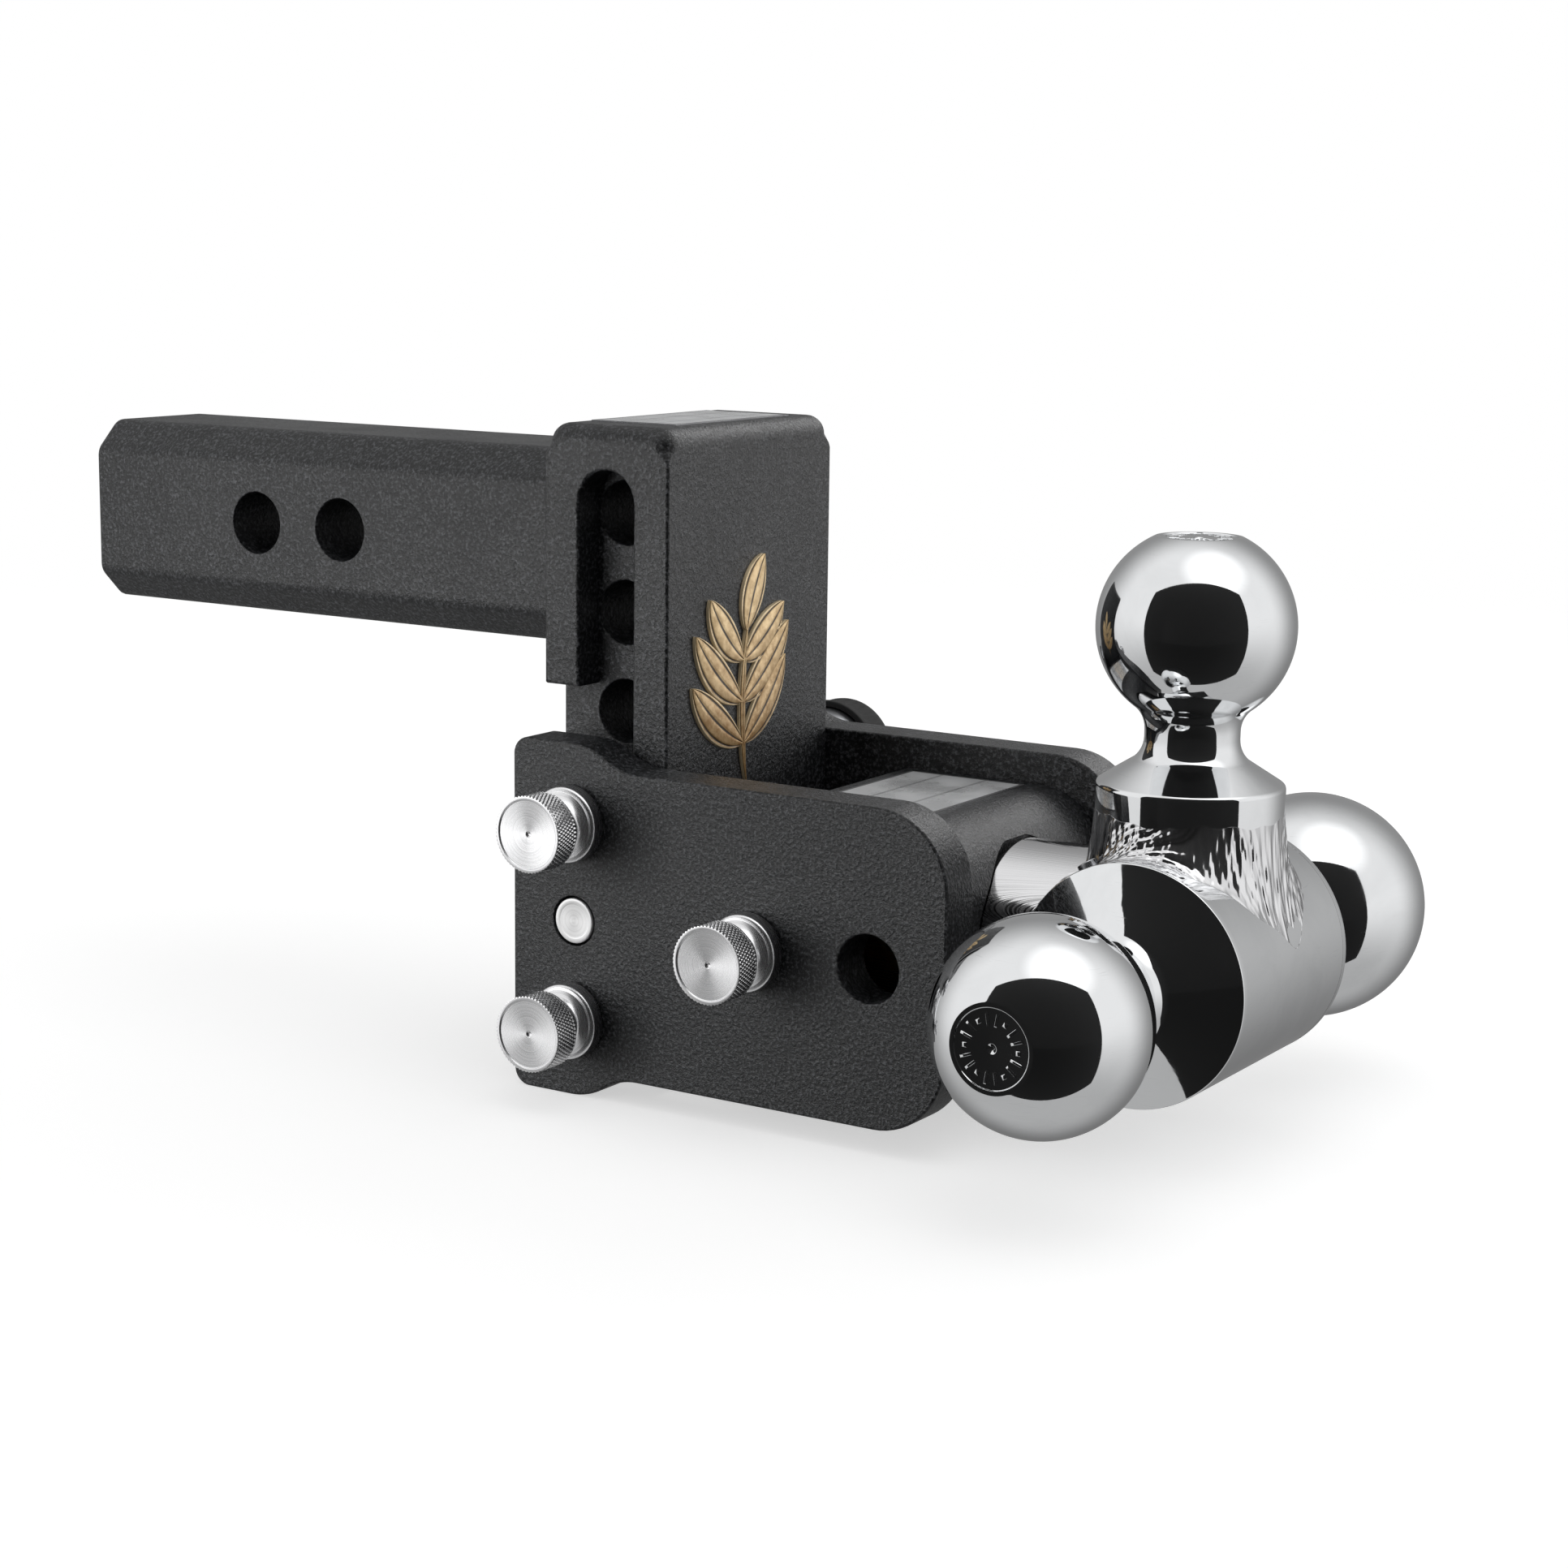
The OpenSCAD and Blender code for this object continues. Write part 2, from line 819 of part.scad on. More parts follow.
// A ball on its neck and cone, standing on Z at base_z, with a spigot that goes into the hub
module ball_on_neck(ball_d, centre_z, base_r, base_z, cone_h) {
    flat_z = sqrt(ball_d * ball_d - ball_flat_d * ball_flat_d) / 2;
    difference() {
        union() {
            translate([0, 0, centre_z])
                sphere(d = ball_d);
            cylinder(r = neck_r, h = centre_z);
            translate([0, 0, base_z])
                cylinder(r1 = base_r, r2 = neck_r + 1, h = cone_h);
        }
        translate([-ball_d, -ball_d, centre_z + flat_z])
            cube([2 * ball_d, 2 * ball_d, ball_d]);
        translate([-ball_d, -ball_d, -past])
            cube([2 * ball_d, 2 * ball_d, base_z + past]);
    }
}

module small_ball() {
    color(CHROME) {
        difference() {
            translate([hub_at, 0, head_z])
                union() {
                    ball_on_neck(small_ball_d, small_ball_z, collar_d / 2, collar_z, collar_cone);
                    cylinder(d = collar_d, h = collar_z);
                }
            hub_blank(hub_r, 2 * hub_y);
            shaft_blank(hub_at - 2 * hub_r);
        }
        translate([hub_at, 0, head_z + hub_r - spigot_len])
            cylinder(r = spigot_r, h = collar_z - hub_r + spigot_len);
    }
}

module side_ball(ball_d) {
    base = hub_y / 2;
    ball_on_neck(ball_d, base + side_ball_gap + ball_d / 2, hub_r, base, side_cone);
    translate([0, 0, base - spigot_len])
        cylinder(r = spigot_r, h = spigot_len + past);
}

module medium_ball() {
    color(CHROME)
        to_near(hub_at, 0, head_z)
            side_ball(medium_ball_d);
}

module large_ball() {
    color(CHROME)
        to_far(hub_at, 0, head_z)
            side_ball(large_ball_d);
}

// A bead around the collar, no higher above the hub than its reach
module collar_weld() {
    color(CHROME)
        difference() {
            intersection() {
                translate([hub_at, 0, head_z])
                    cylinder(r = collar_d / 2 + weld_reach, h = collar_z);
                hub_blank(hub_r + weld_reach, hub_y);
            }
            hub_blank(hub_r, 2 * hub_y);
            translate([hub_at, 0, head_z])
                cylinder(d = collar_d, h = collar_z + past);
            shaft_blank(hub_at - 2 * hub_r);
            vent_rod(vent_d + 2 * spigot_clear, collar_z);
        }
}

module shaft_weld() {
    color(CHROME)
        difference() {
            intersection() {
                along_x(hub_at - hub_r - weld_reach, head_z)
                    cylinder(r = shoulder_d / 2 + weld_reach, h = hub_r + weld_reach);
                hub_blank(hub_r + weld_reach, hub_y);
            }
            hub_blank(hub_r, 2 * hub_y);
            shaft_blank(hub_at - 2 * hub_r);
            translate([hub_at, 0, head_z])
                cylinder(r = collar_d / 2 + weld_reach, h = 2 * hub_r);
            vent_rod(vent_d + 2 * spigot_clear, collar_z);
        }
}

module thrust_washer() {
    color(STEEL)
        along_x(block_start - free_gap - washer_t, head_z)
            tube(washer_r, shaft_d / 2, washer_t);
}

module retaining_ring() {
    color(STEEL)
        along_x(block_start - free_gap - washer_t - ring_t, head_z)
            difference() {
                tube(ring_r, shaft_d / 2 - ring_depth, ring_t);
                translate([-ring_r - past, -ring_gap / 2, -past])
                    cube([ring_r, ring_gap, ring_t + 2 * past]);
            }
}

// A small plug in the hub, between the collar and the shaft
module vent_rod(d, top) {
    translate([hub_at, vent_y, head_z])
        rotate([0, -vent_turn, 0])
            translate([0, 0, hub_r - vent_depth])
                cylinder(d = d, h = top + vent_depth);
}

module vent_plug() {
    color(CHROME)
        vent_rod(vent_d, 1.6);
}

shank();
column_core();
near_rail();
far_rail();
emblem();
top_label();
near_plate();
far_plate();
socket_block();
block_welds();
shaft_sleeve();
shaft_seal();
near_guide_pin();
far_guide_pin();
socket_label();
plunger_guide();
upper_pin();
upper_pin_knob();
upper_pin_ring();
lower_pin();
lower_pin_knob();
lower_pin_ring();
upper_lock_body();
upper_lock_plug();
upper_lock_cap();
lower_lock_body();
lower_lock_plug();
lower_lock_cap();
ball_pin();
ball_pin_knob();
ball_pin_clip();
ball_pin_spring();
head_shaft();
hub();
small_ball();
medium_ball();
large_ball();
collar_weld();
shaft_weld();
thrust_washer();
retaining_ring();
vent_plug();
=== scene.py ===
"""The looks of a three-ball trailer hitch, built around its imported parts. Lengths are in metres."""
import json
import math

import bmesh
import bpy
import numpy as np
from mathutils import Matrix, Vector

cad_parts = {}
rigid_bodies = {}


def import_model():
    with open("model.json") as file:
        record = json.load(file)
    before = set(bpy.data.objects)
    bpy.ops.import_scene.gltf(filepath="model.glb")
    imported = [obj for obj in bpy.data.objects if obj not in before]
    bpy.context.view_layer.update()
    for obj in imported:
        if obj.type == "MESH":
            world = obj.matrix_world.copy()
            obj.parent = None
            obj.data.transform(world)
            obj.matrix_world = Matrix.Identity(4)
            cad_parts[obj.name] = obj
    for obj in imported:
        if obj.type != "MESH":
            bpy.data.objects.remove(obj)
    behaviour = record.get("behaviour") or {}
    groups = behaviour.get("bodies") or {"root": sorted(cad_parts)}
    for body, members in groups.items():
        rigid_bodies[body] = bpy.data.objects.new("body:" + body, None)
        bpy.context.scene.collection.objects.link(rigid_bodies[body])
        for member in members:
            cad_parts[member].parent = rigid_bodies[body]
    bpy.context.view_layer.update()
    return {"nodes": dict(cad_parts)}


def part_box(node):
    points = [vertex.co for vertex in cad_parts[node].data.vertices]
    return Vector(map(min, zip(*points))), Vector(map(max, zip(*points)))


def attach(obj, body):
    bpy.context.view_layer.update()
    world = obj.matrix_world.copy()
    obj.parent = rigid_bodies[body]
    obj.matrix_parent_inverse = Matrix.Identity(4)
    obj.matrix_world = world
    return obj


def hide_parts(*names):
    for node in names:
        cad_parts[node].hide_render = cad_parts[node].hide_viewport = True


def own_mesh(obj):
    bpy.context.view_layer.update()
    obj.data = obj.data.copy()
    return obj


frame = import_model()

MM = 0.001
TURN = 2 * math.pi
nodes = frame["nodes"]


# ---------- places, read from the frame ----------

def middle(node):
    """The middle of a CAD node's box."""
    low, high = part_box(node)
    return (low + high) / 2


def extent(node):
    """The lowest and highest corners of a CAD node as two arrays."""
    low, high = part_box(node)
    return np.array(low), np.array(high)


# ---------- mesh tools ----------

def finish_mesh(name, mesh, finish, body, replaced, smooth_deg=38.0, weighted=True):
    """Makes the object, shades it smooth up to an angle, gives it its material and body."""
    bm = bmesh.new()
    bm.from_mesh(mesh)
    bmesh.ops.remove_doubles(bm, verts=bm.verts, dist=2e-7)
    bmesh.ops.dissolve_degenerate(bm, edges=bm.edges, dist=1e-8)
    bmesh.ops.recalc_face_normals(bm, faces=bm.faces)
    bm.to_mesh(mesh)
    bm.free()
    mesh.shade_smooth()
    mesh.set_sharp_from_angle(angle=math.radians(smooth_deg))
    piece = bpy.data.objects.new(name, mesh)
    bpy.context.scene.collection.objects.link(piece)
    if weighted:
        even = piece.modifiers.new("even_normals", "WEIGHTED_NORMAL")
        even.keep_sharp = True
        even.weight = 100
    mesh.materials.clear()
    mesh.materials.append(finish["material"])
    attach(piece, body)
    if replaced:
        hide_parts(*replaced)
    return piece


def grid_mesh(name, points, wrap_rows=False, wrap_cols=False, along=None):
    """A surface through a grid of points.
    Each quad joins a point to its neighbours in the next row and column.
    The UV map holds the share of the way round as u and the distance along as v."""
    rows, cols = points.shape[:2]
    index = np.arange(rows * cols).reshape(rows, cols)
    col_id, row_id = np.meshgrid(np.arange(cols + wrap_cols), np.arange(rows + wrap_rows))
    if wrap_cols:
        index = np.concatenate([index, index[:, :1]], axis=1)
    if wrap_rows:
        index = np.concatenate([index, index[:1]], axis=0)
    corner = [(slice(None, -1), slice(None, -1)), (slice(None, -1), slice(1, None)),
              (slice(1, None), slice(1, None)), (slice(1, None), slice(None, -1))]
    quads = np.stack([index[c] for c in corner], axis=-1).reshape(-1, 4)
    along = np.arange(rows + wrap_rows) if along is None else along
    u = np.stack([col_id[c] for c in corner], axis=-1).ravel() / max(cols, 1)
    v = np.asarray(along)[np.stack([row_id[c] for c in corner], axis=-1).ravel()]
    mesh = bpy.data.meshes.new(name)
    mesh.from_pydata(points.reshape(-1, 3), [], quads)
    layer = mesh.uv_layers.new(name="surface")
    layer.data.foreach_set("uv", np.stack([u, v], axis=-1).astype(np.float32).ravel())
    return mesh


def round_corners(corners, steps=6):
    """A path through (a, b, rounding) corners.
    Each corner becomes an arc that is tangent to both its sides."""
    path = []
    for i, (a, b, rounding) in enumerate(corners):
        point = np.array([a, b], float)
        if rounding <= 0 or i in (0, len(corners) - 1):
            path.append(point)
            continue
        back = np.array(corners[i - 1][:2], float) - point
        ahead = np.array(corners[i + 1][:2], float) - point
        back_len, ahead_len = np.linalg.norm(back), np.linalg.norm(ahead)
        back, ahead = back / back_len, ahead / ahead_len
        half = math.acos(np.clip(back @ ahead, -1, 1)) / 2
        if half < 0.01 or half > math.pi / 2 - 0.01:
            path.append(point)
            continue
        reach = min(rounding / math.tan(half), 0.49 * back_len, 0.49 * ahead_len)
        radius = reach * math.tan(half)
        bisector = (back + ahead) / np.linalg.norm(back + ahead)
        centre = point + bisector * radius / math.sin(half)
        start = point + back * reach - centre
        end = point + ahead * reach - centre
        sweep = math.pi - 2 * half
        for t in np.linspace(0, 1, steps):
            mix = (math.sin((1 - t) * sweep) * start + math.sin(t * sweep) * end) / math.sin(sweep)
            path.append(centre + mix)
    return np.array(path)


def axis_frame(direction):
    """Three unit vectors: two across a direction, and the direction itself."""
    along = Vector(direction).normalized()
    helper = Vector((0, 0, 1)) if abs(along.z) < 0.9 else Vector((1, 0, 0))
    across = helper.cross(along).normalized()
    return np.array(across), np.array(along.cross(across)), np.array(along)


def turned_mesh(name, path, origin, direction, sides=128, relief=None):
    """Spins a path of (radius, distance) about an axis.
    relief(angle, distance, radius) adds to the radius."""
    across, up, along = axis_frame(direction)
    angle = np.arange(sides) * TURN / sides
    radius = np.repeat(path[:, :1], sides, axis=1)
    if relief is not None:
        radius = radius + relief(angle[None, :], path[:, 1:], path[:, :1])
    points = (np.array(origin)
              + radius[..., None] * (np.cos(angle)[None, :, None] * across
                                     + np.sin(angle)[None, :, None] * up)
              + path[:, 1, None, None] * along)
    run = np.concatenate([[0], np.cumsum(np.linalg.norm(np.diff(path, axis=0), axis=1))])
    return grid_mesh(name, points, wrap_cols=True, along=run)


def turned(name, path, origin, direction, finish, body, replaced, sides=128, relief=None):
    """A lathe-turned piece."""
    mesh = turned_mesh(name, path, origin, direction, sides, relief)
    return finish_mesh(name, mesh, finish, body, replaced)


def capped(mesh, rows, cols):
    """Closes both ends of a grid that is wrapped round its columns."""
    bm = bmesh.new()
    bm.from_mesh(mesh)
    bm.verts.ensure_lookup_table()
    bm.faces.new([bm.verts[i] for i in range(cols)])
    bm.faces.new([bm.verts[(rows - 1) * cols + i] for i in range(cols)])
    bmesh.ops.recalc_face_normals(bm, faces=bm.faces)
    bm.to_mesh(mesh)
    bm.free()
    return mesh


def prism_mesh(name, outline, start, end, place, start_edge=0.0, end_edge=0.0, steps=5):
    """An outline carried from start to end. The edge at each end is a quarter round of that radius,
    worked by moving the outline's points in along their normals. place turns (a, b, distance) into x, y, z."""
    before = np.roll(outline, 1, axis=0)
    after = np.roll(outline, -1, axis=0)
    tangent = (outline - before) / np.linalg.norm(outline - before, axis=1)[:, None]
    tangent = tangent + (after - outline) / np.linalg.norm(after - outline, axis=1)[:, None]
    tangent /= np.linalg.norm(tangent, axis=1)[:, None]
    inward = np.stack([-tangent[:, 1], tangent[:, 0]], axis=1)
    first = np.broadcast_to(np.asarray(start_edge, float), (len(outline),))
    last = np.broadcast_to(np.asarray(end_edge, float), (len(outline),))
    rows = []
    for turn in np.linspace(0, math.pi / 2, steps if np.any(first > 0) else 1):
        inset = first * (1 - math.sin(turn)) if np.any(first > 0) else first
        depth = start + first * (1 - math.cos(turn)) if np.any(first > 0) else start + first
        rows.append((inset, depth))
    for turn in np.linspace(0, math.pi / 2, steps if np.any(last > 0) else 1):
        inset = last * (1 - math.cos(turn)) if np.any(last > 0) else last
        depth = end - last * (1 - math.sin(turn)) if np.any(last > 0) else end - last
        rows.append((inset, depth))
    grid = []
    for inset, depth in rows:
        flat = outline + inward * inset[:, None]
        grid.append(place(flat[:, 0], flat[:, 1], np.broadcast_to(depth, (len(outline),))))
    grid = np.array(grid)
    mesh = grid_mesh(name, grid, wrap_cols=True)
    return capped(mesh, len(grid), len(outline))


def side_place(a, b, depth):
    """An outline in X and Z, carried along Y."""
    return np.stack([a, depth, b], axis=1)


def front_place(a, b, depth):
    """An outline in Y and Z, carried along X."""
    return np.stack([depth, a, b], axis=1)


def joined(name, meshes):
    """Several meshes as one."""
    bm = bmesh.new()
    for mesh in meshes:
        bm.from_mesh(mesh)
    result = bpy.data.meshes.new(name)
    bm.to_mesh(result)
    bm.free()
    return result


def carved(mesh, cutters, operation="DIFFERENCE"):
    """A mesh with cutters taken out of it, or cut down to them."""
    body = bpy.data.objects.new("work", mesh)
    tool = bpy.data.objects.new("tool", joined("tool", cutters))
    for thing in (body, tool):
        bpy.context.scene.collection.objects.link(thing)
    cut = body.modifiers.new("cut", "BOOLEAN")
    cut.operation = operation
    cut.solver = "EXACT"
    cut.object = tool
    graph = bpy.context.evaluated_depsgraph_get()
    result = bpy.data.meshes.new_from_object(body.evaluated_get(graph))
    for thing in (body, tool):
        bpy.data.objects.remove(thing)
    return result


def drill(origin, direction, radius, start, end, lip, sides=96):
    """A cutter for a round hole whose rims are rounded by lip at both ends."""
    past = 2 * MM
    rim = [(radius + lip * (1 - math.sin(t)), lip * (1 - math.cos(t)))
           for t in np.linspace(0, math.pi / 2, 5)]
    path = [(0, start - past), (radius + lip, start - past)]
    path += [(r, start + d) for r, d in rim]
    path += [(r, end - d) for r, d in reversed(rim)]
    path += [(radius + lip, end + past), (0, end + past)]
    mesh = turned_mesh("drill", np.array(path), origin, direction, sides)
    bm = bmesh.new()
    bm.from_mesh(mesh)
    bmesh.ops.remove_doubles(bm, verts=bm.verts, dist=1e-7)
    bmesh.ops.recalc_face_normals(bm, faces=bm.faces)
    bm.to_mesh(mesh)
    bm.free()
    return mesh


def rectangle(a0, b0, a1, b1, radii, steps=10):
    """A rectangle's outline, anticlockwise, with its own radius at each corner."""
    start = ((a0 + a1) / 2, b0, 0)
    corners = [start, (a1, b0, radii[1]), (a1, b1, radii[2]), (a0, b1, radii[3]), (a0, b0, radii[0]), start]
    return round_corners(corners, steps)[:-1]


# ---------- finishes ----------

def add(tree, kind, inputs=None, **settings):
    """A shader node with its settings made and its inputs filled by values or links."""
    made = tree.nodes.new("ShaderNode" + kind)
    for key, value in settings.items():
        setattr(made, key, value)
    for key, value in (inputs or {}).items():
        if isinstance(value, bpy.types.NodeSocket):
            tree.links.new(value, made.inputs[key])
        else:
            made.inputs[key].default_value = value
    return made


def new_group(name, inputs, outputs):
    """An empty node group with named number inputs and outputs."""
    tree = bpy.data.node_groups.new(name, "ShaderNodeTree")
    for label, value in inputs.items():
        socket = tree.interface.new_socket(name=label, in_out="INPUT", socket_type="NodeSocketFloat")
        socket.default_value = value
    for label in outputs:
        tree.interface.new_socket(name=label, in_out="OUTPUT", socket_type="NodeSocketFloat")
    return tree, tree.nodes.new("NodeGroupInput"), tree.nodes.new("NodeGroupOutput")


def ramp(tree, value, low, high, bottom=0.0, top=1.0):
    """A value carried smoothly from one range to another."""
    made = add(tree, "MapRange", {"Value": value, "From Min": low, "From Max": high,
                                  "To Min": bottom, "To Max": top}, interpolation_type="SMOOTHSTEP")
    return made.outputs["Result"]


def math_node(tree, operation, a, b=0.0):
    """One step of arithmetic."""
    return add(tree, "Math", {0: a, 1: b}, operation=operation).outputs["Value"]


def coat_grain_group():
    """The fine sandy texture of powder coat: bright specks, partly pale grit and partly painted glints that the
    grain would throw, and small pits over broad waves.
    """
    tree, entry, leave = new_group("coat_grain", {"Grain": 1150.0}, ["Speck", "Relief", "Patch"])
    place = add(tree, "TexCoord").outputs["Object"]
    fine = add(tree, "TexNoise", {"Vector": place, "Scale": entry.outputs["Grain"], "Detail": 3.0,
                                  "Roughness": 0.7})
    peel = add(tree, "TexNoise", {"Vector": place, "Scale": 620.0, "Detail": 0.0})
    patch = add(tree, "TexNoise", {"Vector": place, "Scale": 28.0, "Detail": 3.0})
    relief = math_node(tree, "MULTIPLY", peel.outputs["Fac"], 0.25)
    relief = math_node(tree, "ADD", relief, fine.outputs["Fac"])
    # The speck mask marks pale grit and painted glints alike.
    tree.links.new(ramp(tree, fine.outputs["Fac"], 0.46, 0.7), leave.inputs["Speck"])
    tree.links.new(relief, leave.inputs["Relief"])
    tree.links.new(ramp(tree, patch.outputs["Fac"], 0.35, 0.65), leave.inputs["Patch"])
    return tree


def polish_group():
    """Handling marks in a polished plate: faint cloudy smears and hairline scratches."""
    tree, entry, leave = new_group("polish", {"Smear": 45.0}, ["Haze", "Relief"])
    place = add(tree, "TexCoord").outputs["Object"]
    cloud = add(tree, "TexNoise", {"Vector": place, "Scale": entry.outputs["Smear"], "Detail": 4.0,
                                   "Roughness": 0.6, "Distortion": 0.6})
    turned_place = add(tree, "Mapping", {"Vector": place, "Rotation": (0.4, 0.9, 0.2),
                                         "Scale": (1.0, 1.0, 26.0)})
    hair = add(tree, "TexNoise", {"Vector": turned_place.outputs["Vector"], "Scale": 160.0, "Detail": 2.0})
    scratch = ramp(tree, hair.outputs["Fac"], 0.66, 0.74)
    haze = math_node(tree, "MAXIMUM", ramp(tree, cloud.outputs["Fac"], 0.4, 0.75), scratch)
    tree.links.new(haze, leave.inputs["Haze"])
    tree.links.new(cloud.outputs["Fac"], leave.inputs["Relief"])
    return tree


def tool_rings_group():
    """Rings that a lathe tool leaves: noise along the profile that is the same all the way round."""
    tree, entry, leave = new_group("tool_rings", {"Pitch": 5200.0}, ["Shade", "Relief"])
    uv = add(tree, "UVMap", uv_map="surface").outputs["UV"]
    split = add(tree, "SeparateXYZ", {"Vector": uv})
    along = math_node(tree, "MULTIPLY", split.outputs["Y"], entry.outputs["Pitch"])
    fine = add(tree, "TexNoise", {"W": along, "Scale": 1.0, "Detail": 1.0}, noise_dimensions="1D")
    coarse = add(tree, "TexNoise", {"W": along, "Scale": 0.22, "Detail": 1.0}, noise_dimensions="1D")
    both = math_node(tree, "ADD", fine.outputs["Fac"], coarse.outputs["Fac"])
    tree.links.new(ramp(tree, both, 0.7, 1.3), leave.inputs["Shade"])
    tree.links.new(both, leave.inputs["Relief"])
    return tree


def grind_group():
    """Strokes from a hand grinder: long thin noise on the UV map that leans one way and then the other."""
    tree, entry, leave = new_group("grind", {"Across": 66.0, "Along": 42.0, "Lean": 430.0},
                                   ["Streak", "Relief", "Facet"])
    uv = add(tree, "UVMap", uv_map="surface").outputs["UV"]
    split = add(tree, "SeparateXYZ", {"Vector": uv})
    sway = math_node(tree, "SINE", math_node(tree, "MULTIPLY", split.outputs["X"], 3 * TURN))
    lean = math_node(tree, "MULTIPLY", split.outputs["Y"], entry.outputs["Lean"])
    lean = math_node(tree, "MULTIPLY", lean, math_node(tree, "ADD", sway, 0.5))
    across = math_node(tree, "MULTIPLY", split.outputs["X"], entry.outputs["Across"])
    across = math_node(tree, "ADD", across, lean)
    along = math_node(tree, "MULTIPLY", split.outputs["Y"], entry.outputs["Along"])
    path = add(tree, "CombineXYZ", {"X": across, "Y": along})
    fine = add(tree, "TexNoise", {"Vector": path.outputs["Vector"], "Scale": 1.1, "Detail": 1.0,
                                  "Roughness": 0.5}, noise_dimensions="2D")
    broad = add(tree, "TexNoise", {"Vector": path.outputs["Vector"], "Scale": 0.5, "Detail": 1.0},
                noise_dimensions="2D")
    relief = math_node(tree, "ADD", math_node(tree, "MULTIPLY", fine.outputs["Fac"], 0.07),
                       broad.outputs["Fac"])
    tree.links.new(ramp(tree, fine.outputs["Fac"], 0.36, 0.56), leave.inputs["Streak"])
    tree.links.new(relief, leave.inputs["Relief"])
    tree.links.new(ramp(tree, broad.outputs["Fac"], 0.4, 0.6), leave.inputs["Facet"])
    return tree


coat_grain = coat_grain_group()
polish = polish_group()
tool_rings = tool_rings_group()
grind = grind_group()


def use(tree, group, inputs=None):
    """Puts a node group into a material."""
    made = tree.nodes.new("ShaderNodeGroup")
    made.node_tree = group
    for key, value in (inputs or {}).items():
        made.inputs[key].default_value = value
    return made.outputs


def start_material(name, slot, metallic=0.0, specular=0.5, anisotropic=0.0):
    """A material with a Principled shader, whose constant values sit on its own sockets."""
    material = bpy.data.materials.new(name)
    material.use_nodes = True
    tree = material.node_tree
    shader = tree.nodes["Principled BSDF"]
    shader.inputs["Metallic"].default_value = metallic
    shader.inputs["Specular IOR Level"].default_value = specular
    shader.inputs["Anisotropic"].default_value = anisotropic
    return {"material": material, "slot": slot}, tree, shader


def colour_mix(tree, factor, first, second):
    """A colour between two, by a factor."""
    return add(tree, "Mix", {0: factor, 6: (*first, 1.0), 7: (*second, 1.0)},
               data_type="RGBA").outputs[2]


def bump(tree, shader, height, distance, strength=1.0):
    """Feeds a height into the shader's normal."""
    made = add(tree, "Bump", {"Height": height, "Distance": distance, "Strength": strength})
    tree.links.new(made.outputs["Normal"], shader.inputs["Normal"])


def powder_coat_finish():
    """Black textured powder coat on steel."""
    finish, tree, shader = start_material("powder_coat", "powder_coat", specular=0.34)
    grain = use(tree, coat_grain)
    # The light speck colour is partly the coat's own pale grit and partly painted glints on the grain.
    colour = colour_mix(tree, grain["Speck"], (0.0025, 0.0028, 0.0032), (0.065, 0.067, 0.072))
    tree.links.new(colour, shader.inputs["Base Color"])
    tree.links.new(ramp(tree, grain["Patch"], 0, 1, 0.3, 0.38), shader.inputs["Roughness"])
    bump(tree, shader, grain["Relief"], 0.0004, 0.9)
    return finish


def chrome_finish():
    """Mirror chrome, a little hazy where it is handled."""
    finish, tree, shader = start_material("chrome", "chrome", metallic=1.0)
    marks = use(tree, polish)
    colour = colour_mix(tree, marks["Haze"], (0.82, 0.83, 0.84), (0.76, 0.77, 0.78))
    tree.links.new(colour, shader.inputs["Base Color"])
    tree.links.new(ramp(tree, marks["Haze"], 0, 1, 0.03, 0.075), shader.inputs["Roughness"])
    bump(tree, shader, marks["Relief"], 0.00004, 0.35)
    return finish


def ground_chrome_finish(name, slot, inputs, depth, dark, fade=None):
    """Chrome over steel that was ground by hand, with strokes that look dark between the bright ones.
    fade gives two heights: the strokes die away from the second up to the first, leaving the top bright; this is
    painted shade on the lower side."""
    finish, tree, shader = start_material(name, slot, metallic=1.0)
    marks = use(tree, grind, inputs)
    stroke_and_shade = marks["Streak"]
    # Painted shade: the dark strokes fade out above the given heights, so the upper side is left clean and bright.
    if fade:
        place = add(tree, "TexCoord").outputs["Object"]
        height = add(tree, "SeparateXYZ", {"Vector": place}).outputs["Z"]
        stroke_and_shade = math_node(tree, "MAXIMUM", stroke_and_shade, ramp(tree, height, fade[1], fade[0]))
    colour = colour_mix(tree, stroke_and_shade, dark, (0.8, 0.8, 0.81))
    tree.links.new(colour, shader.inputs["Base Color"])
    tree.links.new(ramp(tree, marks["Facet"], 0, 1, 0.07, 0.16), shader.inputs["Roughness"])
    bump(tree, shader, marks["Relief"], depth, 0.8)
    return finish


def turned_steel_finish(name, slot, colour, roughness, anisotropic=0.75):
    """Lathe-turned metal, whose rings spread highlights into a fan."""
    finish, tree, shader = start_material(name, slot, metallic=1.0, anisotropic=anisotropic)
    rings = use(tree, tool_rings)
    dark = tuple(0.9 * c for c in colour)
    tree.links.new(colour_mix(tree, rings["Shade"], dark, colour), shader.inputs["Base Color"])
    tree.links.new(ramp(tree, rings["Shade"], 0, 1, roughness + 0.05, roughness), shader.inputs["Roughness"])
    tangent = add(tree, "Tangent", direction_type="UV_MAP", uv_map="surface")
    tree.links.new(tangent.outputs["Tangent"], shader.inputs["Tangent"])
    bump(tree, shader, rings["Relief"], 0.000006, 0.3)
    return finish


def plain_metal_finish(name, slot, clean, dull, roughness):
    """Plated or cast metal for the small hidden pieces, clouded and slightly pitted."""
    finish, tree, shader = start_material(name, slot, metallic=1.0)
    marks = use(tree, polish, {"Smear": 160.0})
    tree.links.new(colour_mix(tree, marks["Haze"], clean, dull), shader.inputs["Base Color"])
    tree.links.new(ramp(tree, marks["Haze"], 0, 1, roughness, roughness + 0.2), shader.inputs["Roughness"])
    bump(tree, shader, marks["Relief"], 0.0001, 0.4)
    return finish


